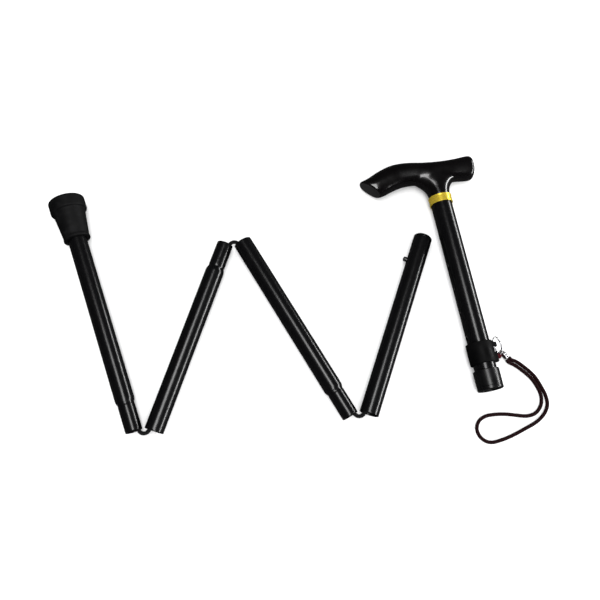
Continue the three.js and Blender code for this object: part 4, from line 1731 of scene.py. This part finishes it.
    def _eye(self, centre: Vector, a: Vector, b: Vector) -> Shape:
        """The clasp's wire eye.

        Args:
            centre: The eye's middle.
            a: One direction in its plane.
            b: The other.

        Returns:
            The shape.
        """
        turns = np.linspace(0, 2 * math.pi * 0.995, 48)
        ring = [tuple(centre + (a * math.cos(t) + b * math.sin(t)) * self.eye_radius) for t in turns]
        return swept(np.array(ring), self.eye_wire, 16)

    def _clasp(self, place: Placement) -> bpy.types.Object:
        """Builds the crimped clasp and its eye.

        Args:
            place: The handle's frame.

        Returns:
            The clasp.
        """
        centre, outward, upward = self._ring_axes()
        out, down = math.cos(self.clasp_turn), math.sin(self.clasp_turn)
        hold = centre + (outward * out - upward * down) * self.ring_radius
        along = outward * down + upward * out
        heading = Vector(self.clasp_heading).normalized()
        pull = (heading - along * heading.dot(along)).normalized()
        eye_centre = hold + pull * (self.eye_radius - self.eye_wire - self.ring_wire - self.clearance)
        start = eye_centre + heading * (self.eye_radius - 0.2)
        start.y = self.floor - self.clasp_radius - 0.1
        r, end, waist = self.clasp_radius, self.clasp_length, self.clasp_radius - self.crimp
        corners = [(0, 0), (r - 0.2, 0, 1.1), (r, 1.3, 0.3), (r, 1.9, 0.2), (waist, 2.3, 0.3)]
        corners += [(waist, 2.9, 0.3), (r, 3.3, 0.3), (r, 3.9, 0.2), (waist, 4.3, 0.3)]
        corners += [(r - 0.3, end, 0.6), (0, end)]
        aim = Vector((0, 0, 1)).rotation_difference(heading).to_matrix().to_4x4()
        barrel = shifted(lathed(rounded(corners, steps=5), 64), Matrix.Translation(start) @ aim)
        made = Bench.mesh_object("strap_clasp_crimp", barrel)
        Bench.combined(made, Carve.JOIN, self._eye(eye_centre, pull, along.cross(pull)))
        return Workshop.finish(made, place, BRIGHT_STEEL, Role("strap", "steel", ("strap_clasp",)), 45.0)

    def _tail(self, place: Placement) -> bpy.types.Object:
        """Builds the red end of the braid beside the holder.

        Args:
            place: The handle's frame.

        Returns:
            The braid's end.
        """
        direction = np.array(self.tail_heading)
        direction = direction / np.linalg.norm(direction)
        path = np.array(self.tail_start) + direction * np.linspace(0, self.tail_length, 40)[:, None]
        pattern = BraidPattern(self.tail_radius, strands=8, lead=13.0, relief=0.35)
        ends = 1 - 0.35 * np.abs(np.linspace(-1, 1, len(path)))[:, None] ** 6
        made = Bench.mesh_object("strap_tail_end", pattern.cord(path, self.sides, ends))
        return Workshop.finish(made, place, RED_BRAID, Role("strap", "strap_tail", ("strap_tail",)), 70.0)


# ---- Studio ----


@dataclass
class Studio:
    """The pale floor, the soft lights and the camera.

    The floor and the sky each have the tone that is seen and a dim one that gloss reflects.
    """

    aim: Point = (0.0291, -0.00967, 0.0)
    distance: float = 0.7231
    elevation: float = math.radians(73)
    lens: float = 42.0
    floor_size: float = 8.0
    pale: float = 0.92
    dim: float = 0.03
    sky: float = 0.93
    dim_sky: float = 0.02

    def camera(self) -> None:
        """Adds the camera."""
        data = bpy.data.cameras.new("camera")
        data.lens, data.sensor_width = self.lens, 36.0
        data.clip_start, data.clip_end = 0.01, 50.0
        made = bpy.data.objects.new("camera", data)
        back = Vector((0, -math.cos(self.elevation), math.sin(self.elevation)))
        made.location = Vector(self.aim) + back * self.distance
        made.rotation_euler = (-back).to_track_quat("-Z", "Y").to_euler()
        bpy.context.scene.collection.objects.link(made)
        bpy.context.scene.camera = made

    def build(self) -> None:
        """Adds the floor, the lights and the world."""
        self._floor()
        self._world()
        self._light("overhead_softbox", (0.10, -0.35, 1.5), (0.5, 1.6), 20.0)
        self._light("side_strip", (1.7, 0.1, 0.30), (2.6, 0.2), 34.0)
        bpy.context.scene.view_settings.view_transform = "Standard"

    @staticmethod
    def _light(name: str, place: Point, size: tuple[float, float], power: float) -> None:
        """Adds a rectangular light that faces the object.

        Args:
            name: The light's name.
            place: Where it stands, in metres.
            size: Its width and height, in metres.
            power: Its power in watts.
        """
        data = bpy.data.lights.new(name, "AREA")
        data.shape, data.size, data.size_y, data.energy = "RECTANGLE", *size, power
        made = bpy.data.objects.new(name, data)
        made.location = place
        made.rotation_euler = (-Vector(place)).to_track_quat("-Z", "Y").to_euler()
        bpy.context.scene.collection.objects.link(made)

    @staticmethod
    def _two_toned(
        tree: bpy.types.NodeTree, kind: str, seen: dict[str, Feed], reflected: dict[str, Feed], out: str
    ) -> None:
        """Fills a node tree with one shader for what is seen and one for what gloss reflects.

        Args:
            tree: The node tree.
            kind: The shader node's type.
            seen: The inputs of the shader that is seen.
            reflected: The inputs of the shader that gloss reflects.
            out: The output node's type.
        """
        tree.nodes.clear()
        sheet = Sheet(tree)
        glossy = sheet.node("ShaderNodeLightPath").outputs["Is Glossy Ray"]
        first, second = (sheet.node(kind, feeds).outputs[0] for feeds in (seen, reflected))
        mixed = sheet.node("ShaderNodeMixShader", {0: glossy, 1: first, 2: second})
        sheet.feed(sheet.node(out).inputs["Surface"], mixed.outputs[0])

    def _floor(self) -> None:
        """Adds the floor, which shows pale but reflects only dimly in the gloss."""
        half = self.floor_size / 2
        corners = [(-half, -half, 0), (half, -half, 0), (half, half, 0), (-half, half, 0)]
        made = Bench.mesh_object("studio_floor", Shape(corners, [(0, 1, 2, 3)]))
        material = bpy.data.materials.new("studio_floor")
        material.use_nodes = True
        pale, dim = ({"Color": (tone, tone, tone, 1)} for tone in (self.pale, self.dim))
        tree = material.node_tree
        self._two_toned(tree, "ShaderNodeBsdfDiffuse", pale, dim, "ShaderNodeOutputMaterial")
        made.data.materials.append(material)

    def _world(self) -> None:
        """Adds an even white sky that reflects only dimly in the gloss."""
        world = bpy.data.worlds.new("studio")
        world.use_nodes = True
        white = (1, 1, 1, 1)
        bright, dim = ({"Color": white, "Strength": power} for power in (self.sky, self.dim_sky))
        self._two_toned(world.node_tree, "ShaderNodeBackground", bright, dim, "ShaderNodeOutputWorld")
        bpy.context.scene.world = world


def main() -> None:
    """Builds the camera, the strap and then every other piece."""
    logging.basicConfig(level=logging.INFO, format="%(name)s: %(message)s")
    layout = Layout(frame["record"])
    studio = Studio()
    studio.camera()
    strap = WristStrap()
    strap.strap(layout.handle)
    TubeSections().build(layout)
    HandleSection().build(layout.handle)
    strap.build(layout.handle)
    studio.build()


if __name__ == "__main__":
    main()
